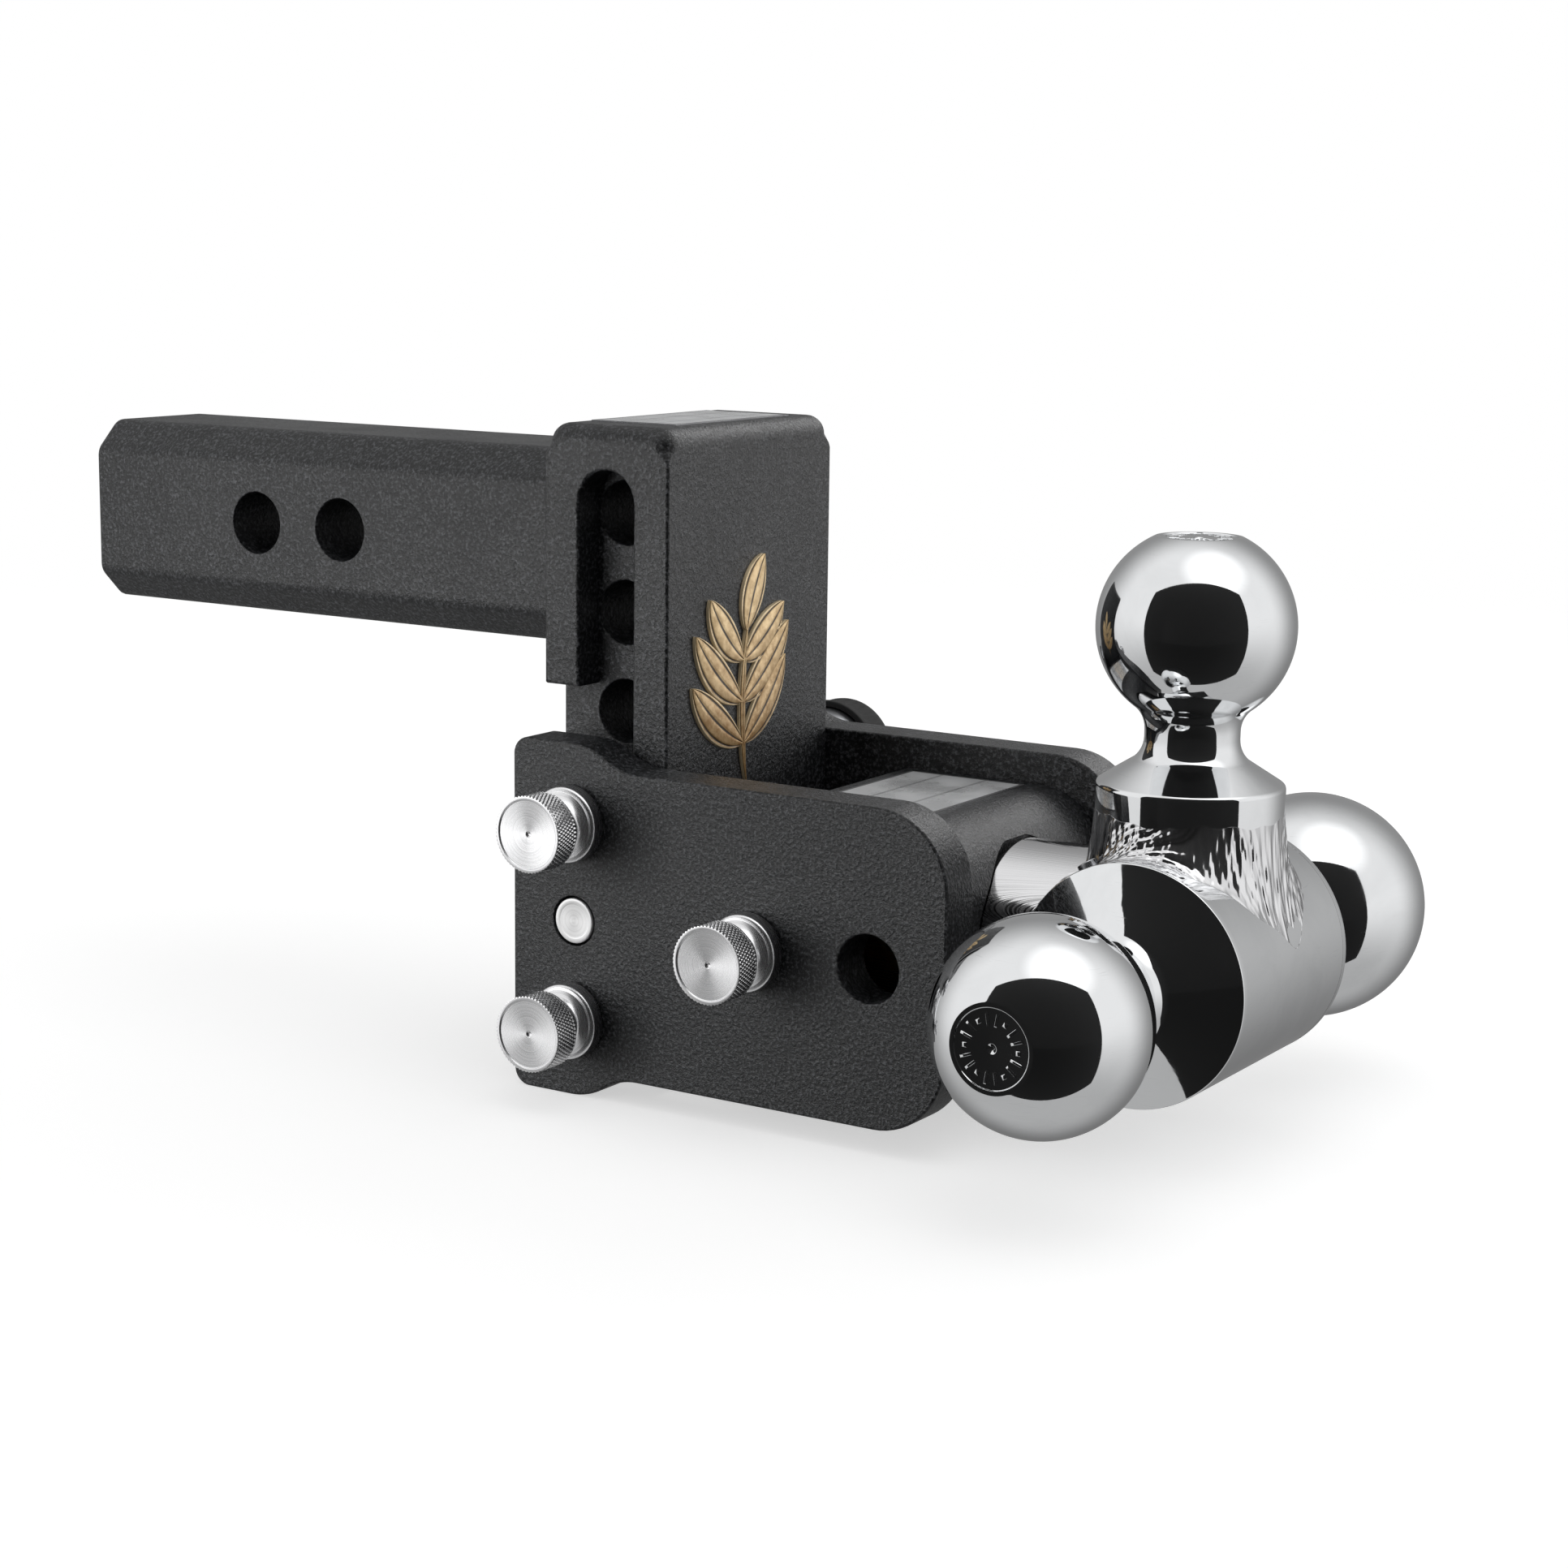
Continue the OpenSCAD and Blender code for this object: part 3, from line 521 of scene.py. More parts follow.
def rubber_finish():
    """Matt black rubber with a faint bloom."""
    finish, tree, shader = start_material("rubber", "rubber", specular=0.35)
    grain = use(tree, coat_grain, {"Grain": 1500.0})
    tree.links.new(colour_mix(tree, grain["Patch"], (0.011, 0.011, 0.011), (0.022, 0.022, 0.022)),
                   shader.inputs["Base Color"])
    tree.links.new(ramp(tree, grain["Patch"], 0, 1, 0.6, 0.75), shader.inputs["Roughness"])
    bump(tree, shader, grain["Relief"], 0.00008, 0.4)
    return finish


def gold_finish(top_z, foot_z):
    """Gold enamel that browns towards its foot.
    The 'rim' attribute runs from 1 at the edge to 0 at the rib."""
    finish, tree, shader = start_material("gold_inlay", "gold_inlay", specular=0.4)
    place = add(tree, "TexCoord").outputs["Object"]
    height = add(tree, "SeparateXYZ", {"Vector": place}).outputs["Z"]
    cloud = add(tree, "TexNoise", {"Vector": place, "Scale": 420.0, "Detail": 4.0, "Roughness": 0.7})
    drop = math_node(tree, "ADD", ramp(tree, height, top_z, foot_z, 0.0, 0.75),
                     ramp(tree, cloud.outputs["Fac"], 0.3, 0.75, -0.2, 0.3))
    field = colour_mix(tree, drop, (0.68, 0.5, 0.27), (0.26, 0.13, 0.038))
    rim = add(tree, "Attribute", attribute_name="rim").outputs["Fac"]
    edge = ramp(tree, rim, 0.86, 0.93)
    groove = math_node(tree, "MULTIPLY", ramp(tree, rim, 0.66, 0.74), ramp(tree, rim, 0.86, 0.8))
    rib = ramp(tree, rim, 0.1, 0.04)
    dark = math_node(tree, "MAXIMUM", groove, rib)
    rimmed = add(tree, "Mix", {0: edge, 6: field, 7: (0.62, 0.5, 0.32, 1.0)}, data_type="RGBA")
    inked = add(tree, "Mix", {0: dark, 6: rimmed.outputs[2], 7: (0.03, 0.018, 0.008, 1.0)},
                data_type="RGBA")
    tree.links.new(inked.outputs[2], shader.inputs["Base Color"])
    tree.links.new(ramp(tree, cloud.outputs["Fac"], 0.3, 0.7, 0.34, 0.5), shader.inputs["Roughness"])
    shader.inputs["Metallic"].default_value = 0.35
    bump(tree, shader, cloud.outputs["Fac"], 0.00008, 0.4)
    return finish


def label_finish(name, node, line_axis, line_step):
    """Silver film printed with thin plain rules and a dark border."""
    low, high = extent(node)
    finish, tree, shader = start_material(name, "silver_label", specular=0.5)
    place = add(tree, "TexCoord").outputs["Object"]
    along = add(tree, "SeparateXYZ", {"Vector": place}).outputs[line_axis]
    wave = math_node(tree, "PINGPONG", along, line_step)
    cloud = add(tree, "TexNoise", {"Vector": place, "Scale": 90.0, "Detail": 3.0})
    film = colour_mix(tree, cloud.outputs["Fac"], (0.7, 0.71, 0.72), (0.85, 0.86, 0.87))
    ink = ramp(tree, wave, 0.05 * line_step, 0.1 * line_step, 0.45, 0.0)
    split = add(tree, "SeparateXYZ", {"Vector": place})
    for axis, k in (("X", 0), ("Y", 1)):
        off = math_node(tree, "ABSOLUTE", math_node(tree, "SUBTRACT", split.outputs[axis],
                                                    float(low[k] + high[k]) / 2))
        half = float(high[k] - low[k]) / 2
        border = ramp(tree, off, half - 1.1 * MM, half - 0.9 * MM)
        ink = math_node(tree, "MAXIMUM", ink, math_node(tree, "MULTIPLY", border, 0.9))
    inked = add(tree, "Mix", {0: ink, 6: film, 7: (0.06, 0.06, 0.065, 1.0)}, data_type="RGBA")
    tree.links.new(inked.outputs[2], shader.inputs["Base Color"])
    tree.links.new(ramp(tree, cloud.outputs["Fac"], 0.3, 0.7, 0.22, 0.36), shader.inputs["Roughness"])
    shader.inputs["Metallic"].default_value = 0.6
    return finish


coat = powder_coat_finish()
chrome = chrome_finish()
weld_chrome = ground_chrome_finish("ground_weld", "rough_chrome", {}, 0.0009, (0.6, 0.6, 0.61))
shaft_z = middle("hub").z
# The shaft's strokes take a near-black colour and fade out towards the top. This is painted shade on its lower
# side, laid over its real grinding strokes.
shaft_chrome_painted_shade = ground_chrome_finish("ground_shaft_painted_shade", "chrome", {"Across": 60.0, "Along": 30.0, "Lean": 900.0},
                                    0.00004, (0.04, 0.04, 0.04), (shaft_z + 21 * MM, shaft_z + 9 * MM))
stainless = turned_steel_finish("turned_stainless", "turned_stainless", (0.86, 0.86, 0.87), 0.24, 0.85)
faced_steel = turned_steel_finish("faced_stainless", "turned_stainless", (0.93, 0.93, 0.93), 0.42, 0.3)
zinc = turned_steel_finish("turned_zinc", "plated_steel", (0.46, 0.47, 0.49), 0.28, 0.3)
zinc_plain = plain_metal_finish("zinc_plate", "plated_steel", (0.5, 0.51, 0.53), (0.34, 0.34, 0.35), 0.25)
bronze = plain_metal_finish("sintered_bronze", "bronze", (0.46, 0.3, 0.14), (0.25, 0.16, 0.08), 0.35)
brass = plain_metal_finish("key_brass", "brass_plug", (0.66, 0.58, 0.38), (0.5, 0.4, 0.22), 0.22)
rubber = rubber_finish()


def dress(node, finish):
    """Gives a CAD node that stays its material."""
    for slot in nodes[node].material_slots:
        slot.material = finish["material"]


# ---------- shank and column ----------

def dense(path, step):
    """A closed outline with points added along its long straight stretches."""
    result = []
    for i, point in enumerate(path):
        ahead = path[(i + 1) % len(path)]
        count = max(1, int(np.linalg.norm(ahead - point) / step))
        result += [point + (ahead - point) * k / count for k in range(count)]
    return np.array(result)


def sphere_arc(radius, centre, start_r, end_r, steps):
    """A ball's profile, from start_r below its middle to end_r above it, as (radius, distance) points."""
    first = -math.acos(start_r / radius)
    last = math.acos(end_r / radius)
    turn = np.linspace(first, last, steps)
    return np.stack([radius * np.cos(turn), centre + radius * np.sin(turn)], axis=1)


shank_low, shank_high = extent("shank")
core_low, core_high = extent("column_core")
rail_low, rail_high = extent("far_rail")
plate_low, plate_high = extent("far_plate")
block_low, block_high = extent("socket_block")
hub_high = extent("hub")[1]
head_z = middle("hub").z
hub_x = middle("hub").x
pin_x = middle("upper_pin").x
pin_r = (extent("upper_pin")[1][0] - extent("upper_pin")[0][0]) / 2
upper_z, lower_z = middle("upper_pin").z, middle("lower_pin").z
ball_pin_x = middle("ball_pin").x
hole_step = (upper_z - lower_z) / 2
SPARE_HOLE_X = block_high[0] - 15.25 * MM
SPARE_HOLE_R = 8.45 * MM
SHOULDER_R = 25 * MM
SHOULDER_X = block_high[0] - 1.7 * MM
Y_AXIS = (0, 1, 0)
X_AXIS = (1, 0, 0)
NEAR = (0, -1, 0)


def build_shank():
    """The square bar, whose long edges are flats that blend into the faces."""
    half = shank_high[2]
    cut = 8 * MM
    soft = 5 * MM
    corners = [(half, 0, 0)]
    for turn in range(4):
        c, s = round(math.cos(turn * TURN / 4)), round(math.sin(turn * TURN / 4))
        for a, b in ((half, half - cut), (half - cut, half)):
            corners.append((a * c - b * s, a * s + b * c, soft))
    corners.append((half, 0, 0))
    outline = round_corners(corners, 8)[:-1]
    mesh = prism_mesh("shank", outline, shank_low[0], shank_high[0], front_place, 1.5 * MM, 0.5 * MM)
    holes = [drill((x, 0, 0), Y_AXIS, 8.5 * MM, shank_low[1], shank_high[1], 0.35 * MM)
             for x in (0, -30 * MM)]
    finish_mesh("shank_bar", carved(mesh, holes), coat, "root", ["shank"])


def build_column():
    """The core with its cross holes, and the two slotted rails on its sides."""
    x0, x1 = core_low[0], core_high[0]
    z0, z1 = core_low[2], core_high[2]
    corner = 5 * MM
    outline = rectangle(x0, z0, x1, z1, (0, 0, corner, corner))
    mesh = prism_mesh("core", outline, core_low[1], core_high[1], side_place)
    holes = [drill((pin_x, 0, upper_z + hole_step * k), Y_AXIS, pin_r + 0.25 * MM,
                   core_low[1], core_high[1], 0.5 * MM) for k in range(-3, 4)
             if z0 < upper_z + hole_step * k - pin_r and upper_z + hole_step * k + pin_r < z1]
    finish_mesh("column_bar", carved(mesh, holes), coat, "root", ["column_core"])

    slot = pin_r + 0.5 * MM
    slot_z = 22.3 * MM - slot
    flange_z = -33 * MM
    arc = [(pin_x - slot * math.cos(t), slot_z + slot * math.sin(t), 0)
           for t in np.linspace(0, math.pi, 25)]
    path = [(pin_x + slot, z0, 0), (x1, z0, 0), (x1, z1, corner), (x0, z1, corner), (x0, flange_z, 0.6 * MM),
            (pin_x - slot, flange_z, 0)] + arc
    outline = dense(round_corners(path, 9), 1.2 * MM)
    sharp = 0.9 * MM
    edge = sharp + (corner - sharp) * np.clip((outline[:, 1] - (z1 - 8 * MM)) / (3 * MM), 0, 1)
    for place, name in ((side_place, "far_rail"), (mirrored_place, "near_rail")):
        mesh = prism_mesh(name, outline, rail_low[1], rail_high[1], place, 0, edge, 8)
        finish_mesh(name + "_bar", mesh, coat, "root", [name])


def mirrored_place(a, b, depth):
    """An outline in X and Z, carried along Y towards the near side."""
    return np.stack([a, -depth, b], axis=1)


# ---------- side plates and socket ----------

def plate_outline():
    """The plate's shape in X and Z, with a tall stretch at the column and S-curves down from it."""
    x0, x1 = plate_low[0], plate_high[0]
    tall = plate_high[2] - head_z
    half = 39.4 * MM
    run, flat = 20.5 * MM, 18 * MM
    drop = tall - half
    arc_r = (run * run + drop * drop) / (4 * drop)
    sweep = math.asin(run / 2 / arc_r)
    upper = [(x0 + flat + arc_r * math.sin(t), tall - arc_r + arc_r * math.cos(t))
             for t in np.linspace(0, sweep, 9)]
    lower = [(x0 + flat + run - arc_r * math.sin(t), half + arc_r - arc_r * math.cos(t))
             for t in np.linspace(sweep, 0, 9)[1:]]
    curve = [(a, b, 0) for a, b in lower[::-1] + upper[::-1]]
    start = (x1, 0, 0)
    above = [(x1, half, 20 * MM)] + curve + [(x0, tall, 4.5 * MM)]
    below = [(a, -b, r) for a, b, r in above[::-1]]
    outline = round_corners([start] + above + below + [start], 16)[:-1]
    outline[:, 1] += head_z
    return outline


def build_plates():
    """Both plates with their rows of holes."""
    outline = plate_outline()
    thin = 0.7 * MM
    start, end = plate_low[1], plate_high[1]
    for name, place, sign in (("far_plate", side_place, 1), ("near_plate", mirrored_place, -1)):
        mesh = prism_mesh(name, outline, start, end, place, thin, thin, 5)
        holes = [drill((pin_x, 0, z), (0, sign, 0), pin_r + 0.25 * MM, start, end, 0.5 * MM)
                 for z in (upper_z, lower_z)]
        holes.append(drill((pin_x, 0, head_z), (0, sign, 0), 6.4 * MM, start, end, 0.3 * MM))
        holes.append(drill((SPARE_HOLE_X, 0, head_z), (0, sign, 0), SPARE_HOLE_R, start, end, 0.5 * MM))
        if sign < 0:
            holes.append(drill((ball_pin_x, 0, head_z), (0, sign, 0), 9.0 * MM, start, end, 0.3 * MM))
        finish_mesh(name + "_steel", carved(mesh, holes), coat, "root", [name])


def build_block():
    """The socket block, bored for the shaft and drilled for the pins."""
    x0, y0, z0 = block_low
    x1, y1, z1 = block_high
    outline = rectangle(x0, z0, x1, z1, (3 * MM, 17 * MM, 17 * MM, 3 * MM), 14)
    mesh = prism_mesh("block", outline, y0, y1, side_place)
    seal_x = extent("shaft_seal")[0][0]
    cuts = [drill((0, 0, head_z), X_AXIS, 21.05 * MM, x0, x1, 0.6 * MM, 128),
            drill((0, 0, head_z), X_AXIS, 22.65 * MM, seal_x, x1 + 6 * MM, 0, 128),
            drill((0, 0, head_z), X_AXIS, SHOULDER_R + 0.5 * MM, SHOULDER_X - 0.3 * MM, x1 + 6 * MM, 0, 128)]
    holes = [drill((SPARE_HOLE_X, 0, head_z), Y_AXIS, SPARE_HOLE_R, y0, y1, 0.3 * MM),
             drill((ball_pin_x, 0, head_z), NEAR, 9 * MM, 0, y1, 0)]
    for cutter in cuts:
        mesh = carved(mesh, [cutter])
    finish_mesh("socket_body", carved(mesh, holes), coat, "root", ["socket_block"])


def build_block_welds():
    """Rippled fillet beads between the block's front face and the plates.
    Across the bead the point at angle t is (cos t, sin t) times the leg, and along it a ripple swells the leg."""
    low, high = extent("block_welds")
    heights = np.arange(low[2], high[2], 0.5 * MM)
    beads = []
    for side in (-1, 1):
        rows = []
        for z in heights:
            leg = (3.1 + 0.22 * abs(math.sin(z / (2.6 * MM) * math.pi))) * MM
            turn = np.linspace(0, math.pi / 2, 9)
            bulge = 0.72 + 0.28 * np.abs(np.cos(2 * turn))
            x = np.append(block_low[0] - leg * np.cos(turn) * bulge, block_low[0] + 0.4 * MM)
            y = np.append(block_high[1] - leg * np.sin(turn) * bulge, block_high[1] + 0.3 * MM)
            rows.append(np.stack([x, side * y, np.full(10, z)], axis=1))
        beads.append(capped(grid_mesh("bead", np.array(rows), wrap_cols=True), len(rows), 10))
    finish_mesh("socket_beads", joined("socket_beads", beads), coat, "root", ["block_welds"])


def build_seal():
    """The rubber ring round the shaft, with a thin lip that leans on it."""
    low, high = extent("shaft_seal")
    inner, outer = 19.35 * MM, 22.6 * MM
    start, end = low[0], high[0]
    path = round_corners([(inner, start, 0), (outer, start, 0.3 * MM), (outer, end, 0.3 * MM),
                          (20.6 * MM, end, 0.3 * MM), (19.12 * MM, end - 0.4 * MM, 0.2 * MM),
                          (inner, end - 1.2 * MM, 0), (inner, start, 0)], 5)
    turned("seal_ring", path, (0, 0, head_z), X_AXIS, rubber, "root", ["shaft_seal"], 160)


def build_guide_pins():
    """The flush pins between the height pins. Each has a broad head that runs in the rail's slot."""
    start, end = extent("far_guide_pin")[0][1], extent("far_guide_pin")[1][1]
    path = round_corners([(0, start, 0), (7.95 * MM, start, 0.6 * MM), (7.95 * MM, plate_low[1], 0.4 * MM),
                          (5.85 * MM, plate_low[1], 0), (5.85 * MM, end, 0.4 * MM), (4.4 * MM, end, 0),
                          (4.2 * MM, end - 0.06 * MM, 0), (0, end - 0.06 * MM, 0)], 5)
    for name, direction in (("far_guide_pin", Y_AXIS), ("near_guide_pin", NEAR)):
        turned(name + "_steel", path, (pin_x, 0, head_z), direction, faced_steel, "root", [name], 96)


# ---------- pins and knobs ----------

KNURL_COUNT = 60
KNURL_PITCH = 1.78 * MM
KNURL_DEPTH = 0.36 * MM


def knob_knurl(angle, distance, radius):
    """Diamond knurl: two sets of helical V-grooves. Each groove's depth is a triangle wave."""
    across = angle * KNURL_COUNT / TURN
    along = (distance - KNURL_START) / KNURL_PITCH
    first = np.abs(((across + along) % 1) - 0.5) * 2
    second = np.abs(((across - along) % 1) - 0.5) * 2
    depth = np.maximum(first, second)
    inside = (distance > KNURL_START - 1e-9) & (distance < KNURL_END + 1e-9) & (radius > 9 * MM)
    return np.where(inside, -KNURL_DEPTH * depth ** 1.6, 0.0)


knob_base = plate_high[1] + 0.3 * MM
KNURL_ROWS = 24
KNURL_START = knob_base + 11.9 * MM
KNURL_END = KNURL_START + KNURL_ROWS * KNURL_PITCH / 6
knob_end = knob_base + 19.1 * MM


def knob_path():
    """From the bore's floor out and back to the middle of the turned face."""
    radius = 9.75 * MM
    bore = [(0, knob_end - 3 * MM), (5.02 * MM, knob_end - 3 * MM), (5.02 * MM, knob_base)]
    collar = round_corners([(5.02 * MM, knob_base, 0), (radius, knob_base, 1.1 * MM),
                            (radius, knob_base + 4.5 * MM, 1.1 * MM), (8.3 * MM, knob_base + 5 * MM, 0)], 7)
    waist_r, dip = 6.35 * MM, 2.1 * MM
    turn = np.linspace(0, 1, 18)
    waist = np.stack([waist_r + dip * np.abs(2 * turn - 1) ** 2.2,
                      knob_base + 5 * MM + 5.9 * MM * turn], axis=1)
    shoulder = round_corners([(8.45 * MM, knob_base + 10.9 * MM, 0),
                              (9.55 * MM, knob_base + 11.5 * MM, 0.4 * MM),
                              (9.55 * MM, KNURL_START - 0.05 * MM, 0)], 4)
    rows = KNURL_START + np.arange(KNURL_ROWS + 1) * KNURL_PITCH / 6
    knurl = np.stack([np.full(len(rows), radius), rows], axis=1)
    face = round_corners([(9.5 * MM, KNURL_END + 0.05 * MM, 0), (9.5 * MM, knob_end, 0.5 * MM),
                          (8.8 * MM, knob_end, 0.15 * MM), (8.55 * MM, knob_end - 0.35 * MM, 0.15 * MM),
                          (0.8 * MM, knob_end - 0.6 * MM, 0.2 * MM),
                          (0.25 * MM, knob_end - 0.95 * MM, 0.1 * MM),
                          (0, knob_end - 0.95 * MM, 0)], 5)
    return np.concatenate([bore, collar[1:], waist, shoulder[1:], knurl, face])


def build_knob(name, x, z, body):
    """A knurled pull knob."""
    turned(name + "_turned", knob_path(), (x, 0, z), NEAR, stainless, body, [name],
           KNURL_COUNT * 6, knob_knurl)


def build_height_pin(name, z):
    """A height pin, grooved for its ring, with a long lead on the far tip."""
    near = plate_high[1] + 0.3 * MM
    far = -extent(name)[1][1]
    ring = plate_high[1] - 4 * MM
    groove = pin_r - 1.85 * MM
    path = round_corners([(0, far, 0), (5.6 * MM, far, 0.5 * MM), (pin_r, far + 2.4 * MM, 0.8 * MM),
                          (pin_r, ring - MM, 0), (groove, ring - MM, 0), (groove, ring + MM, 0),
                          (pin_r, ring + MM, 0), (pin_r, near, 0.3 * MM), (5 * MM, near, 0),
                          (5 * MM, near + 16 * MM, 0.4 * MM), (0, near + 16 * MM, 0)], 5)
    turned(name + "_rod", path, (pin_x, 0, z), NEAR, stainless, name, [name], 96)
    build_knob(name + "_knob", pin_x, z, name)
    dress(name + "_ring", rubber)


def build_ball_pin():
    """The sprung pin that locks the head's turning."""
    high = extent("ball_pin")[1]
    nose, step = -high[1], plate_high[1] - 26.4 * MM
    near = plate_high[1] + 0.3 * MM
    path = round_corners([(0, nose, 0), (5 * MM, nose, 1.2 * MM), (5 * MM, step, 0), (6 * MM, step, 0.3 * MM),
                          (6 * MM, near, 0), (5 * MM, near, 0), (5 * MM, near + 16 * MM, 0.4 * MM),
                          (0, near + 16 * MM, 0)], 5)
    turned("ball_pin_rod", path, (ball_pin_x, 0, head_z), NEAR, stainless, "ball_pin", ["ball_pin"], 96)
    build_knob("ball_pin_knob", ball_pin_x, head_z, "ball_pin")
    dress("ball_pin_clip", bronze)
    build_spring()


def build_spring():
    """The return spring, a wire swept along a helix whose end coils lie closed. It moves with the pin.
    At the turn a the wire's middle is at (r cos a, r sin a) and the pitch eases to the wire's size at both ends."""
    low, high = extent("ball_pin_spring")
    wire, turns, steps = 0.6 * MM, 7, 34
    radius = (high[0] - low[0]) / 2 - wire
    share = np.linspace(0, 1, turns * steps + 1)
    eased = share + 0.045 * np.sin(TURN * share)
    angle = share * turns * TURN
    span = high[1] - low[1] - 2 * wire
    middle_line = np.stack([radius * np.cos(angle), low[1] + wire + span * (2 * share - eased),
                            radius * np.sin(angle)], axis=1)
    out = np.stack([np.cos(angle), np.zeros_like(angle), np.sin(angle)], axis=1)
    lift = np.array([0, 1, 0])
    turn = np.arange(10) * TURN / 10
    rings = (middle_line[:, None] + wire * np.cos(turn)[None, :, None] * out[:, None]
             + wire * np.sin(turn)[None, :, None] * lift)
    rings = rings + np.array([ball_pin_x, 0, head_z])
    mesh = capped(grid_mesh("spring", rings, wrap_cols=True), len(rings), 10)
    spring = finish_mesh("ball_pin_coil", mesh, zinc_plain, "ball_pin", ["ball_pin_spring"])
    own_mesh(spring)


def build_lock(name, z):
    """A barrel lock, its keyed plug and its ribbed rubber cap."""
    low, high = extent(name + "_lock_body")
    start, end, radius = low[1], high[1], 13.5 * MM
    bore, bore_end = pin_r + 0.45 * MM, start + 14 * MM
    path = round_corners([(0, bore_end, 0), (bore, bore_end, 0.4 * MM), (bore, start + 1.2 * MM, 0),
                          (bore + 0.9 * MM, start, 0.2 * MM), (radius, start, 1.4 * MM),
                          (radius, start + 6 * MM, 0.3 * MM), (radius - 0.8 * MM, start + 6.6 * MM, 0.3 * MM),
                          (radius - 0.8 * MM, start + 8 * MM, 0.3 * MM), (radius, start + 8.6 * MM, 0.3 * MM),
                          (radius, end, 1.2 * MM), (7.4 * MM, end, 0.5 * MM), (6.02 * MM, end - 0.7 * MM, 0),
                          (6.02 * MM, end - 7.5 * MM, 0), (0, end - 7.5 * MM, 0)], 5)
    turned(name + "_lock_barrel", path, (pin_x, 0, z), Y_AXIS, zinc, name + "_lock",
           [name + "_lock_body"], 128)
    dress(name + "_lock_plug", brass)

    low, high = extent(name + "_lock_cap")
    start, end, radius = low[1], high[1], 15.4 * MM
    path = round_corners([(0, end - 3 * MM, 0), (13.85 * MM, end - 3 * MM, 0.4 * MM),
                          (13.85 * MM, start, 0.2 * MM),
                          (radius + 0.2 * MM, start, 0.5 * MM),
                          (radius + 0.2 * MM, start + 1.6 * MM, 0.4 * MM),
                          (radius - 0.3 * MM, start + 2.1 * MM, 0.2 * MM),
                          (radius - 0.3 * MM, end - 2 * MM, 0),
                          (radius - 0.5 * MM, end, 1.8 * MM), (11 * MM, end, 0.3 * MM),
                          (10.6 * MM, end - 0.5 * MM, 0.3 * MM), (0, end - 0.5 * MM, 0)], 6)

    def ribs(angle, distance, radius):
        """36 rounded grip ribs between the lip and the cap's end."""
        fade = (np.clip((distance - start - 2.2 * MM) / MM, 0, 1)
                * np.clip((end - 2 * MM - distance) / MM, 0, 1))
        return 0.2 * MM * (np.cos(angle * 36) - 1) * fade * (radius > 14.5 * MM)

    long_path = dense_open(path, 1.2 * MM)
    turned(name + "_lock_boot", long_path, (pin_x, 0, z), Y_AXIS, rubber, name + "_lock_cap",
           [name + "_lock_cap"], 288, ribs)


def dense_open(path, step):
    """An open path with points added along its long straight stretches."""
    return np.append(dense(path, step)[:-max(1, int(np.linalg.norm(path[0] - path[-1]) / step))],
                     path[-1:], axis=0)


# ---------- turning head ----------

def neck_and_ball(cone_end, centre, radius):
    """The profile above a cone: a flared crease, a slim neck, a flare into the ball,
    and a flat with a raised ring."""
    neck, crease, flare = 11.4 * MM, 13.8 * MM, 7 * MM
    swing = math.acos(1 - (crease - neck) / flare)
    turn = np.linspace(swing, 0, 8)
    lower = np.stack([neck + flare * (1 - np.cos(turn)),
                      cone_end + flare * (math.sin(swing) - np.sin(turn))], axis=1)
    ball_start = centre - math.sqrt(radius ** 2 - crease ** 2)
    upper = np.stack([neck + flare * (1 - np.cos(turn[::-1])),
                      ball_start - flare * (math.sin(swing) - np.sin(turn[::-1]))], axis=1)
    flat_r = 10.35 * MM
    flat = centre + math.sqrt(radius ** 2 - flat_r ** 2)
    ball = sphere_arc(radius, centre, crease, flat_r + 0.3 * MM, 72)
    ring = round_corners([tuple(ball[-1]) + (0,), (flat_r, flat, 0.3 * MM), (9.3 * MM, flat, 0.1 * MM),
                          (9.15 * MM, flat - 0.3 * MM, 0.1 * MM), (1.2 * MM, flat - 0.3 * MM, 0.2 * MM),
                          (0.4 * MM, flat - MM, 0.1 * MM), (0, flat - MM, 0)], 5)
    return np.concatenate([lower, upper, ball, ring[1:]]), flat - 0.3 * MM


def marks(origin, direction, flat, count):
    """A ring of short raised dashes on a ball's flat. Each dash is a small block with sloped sides."""
    across, up, along = axis_frame(direction)
    dashes = []
    for k in range(count):
        turn = k * TURN / count
        out = across * math.cos(turn) + up * math.sin(turn)
        side = -across * math.sin(turn) + up * math.cos(turn)
        centre = np.array(origin) + out * 6.6 * MM
        long, wide = (1.5 * MM, 0.32 * MM) if k % 3 else (0.55 * MM, 0.55 * MM)
        rows = []
        for grow, height in ((1.0, -0.2), (1.0, 0.12), (0.75, 0.22)):
            corners = [(-1, -1), (1, -1), (1, 1), (-1, 1)]
            rows.append([centre + out * a * long * grow + side * b * wide * grow + along * (flat + height * MM)
                         for a, b in corners])
        dashes.append(capped(grid_mesh("dash", np.array(rows), wrap_cols=True), 3, 4))
    return dashes


def build_ball(node, direction, cone, centre, radius, buried):
    """A ball on its neck. cone lists the (radius, distance, rounding) corners below the neck."""
    top, flat = neck_and_ball(cone[-1][1], centre, radius)
    path = np.concatenate([round_corners([(0, buried, 0)] + cone, 7), top[1:]])
    origin = (hub_x, 0, head_z)
    body = turned_mesh(node, path, origin, direction, 200)
    dashes = marks(origin, direction, flat, 18)
    finish_mesh(node + "_chrome", joined(node, [body] + dashes), chrome, "head", [node], weighted=False)


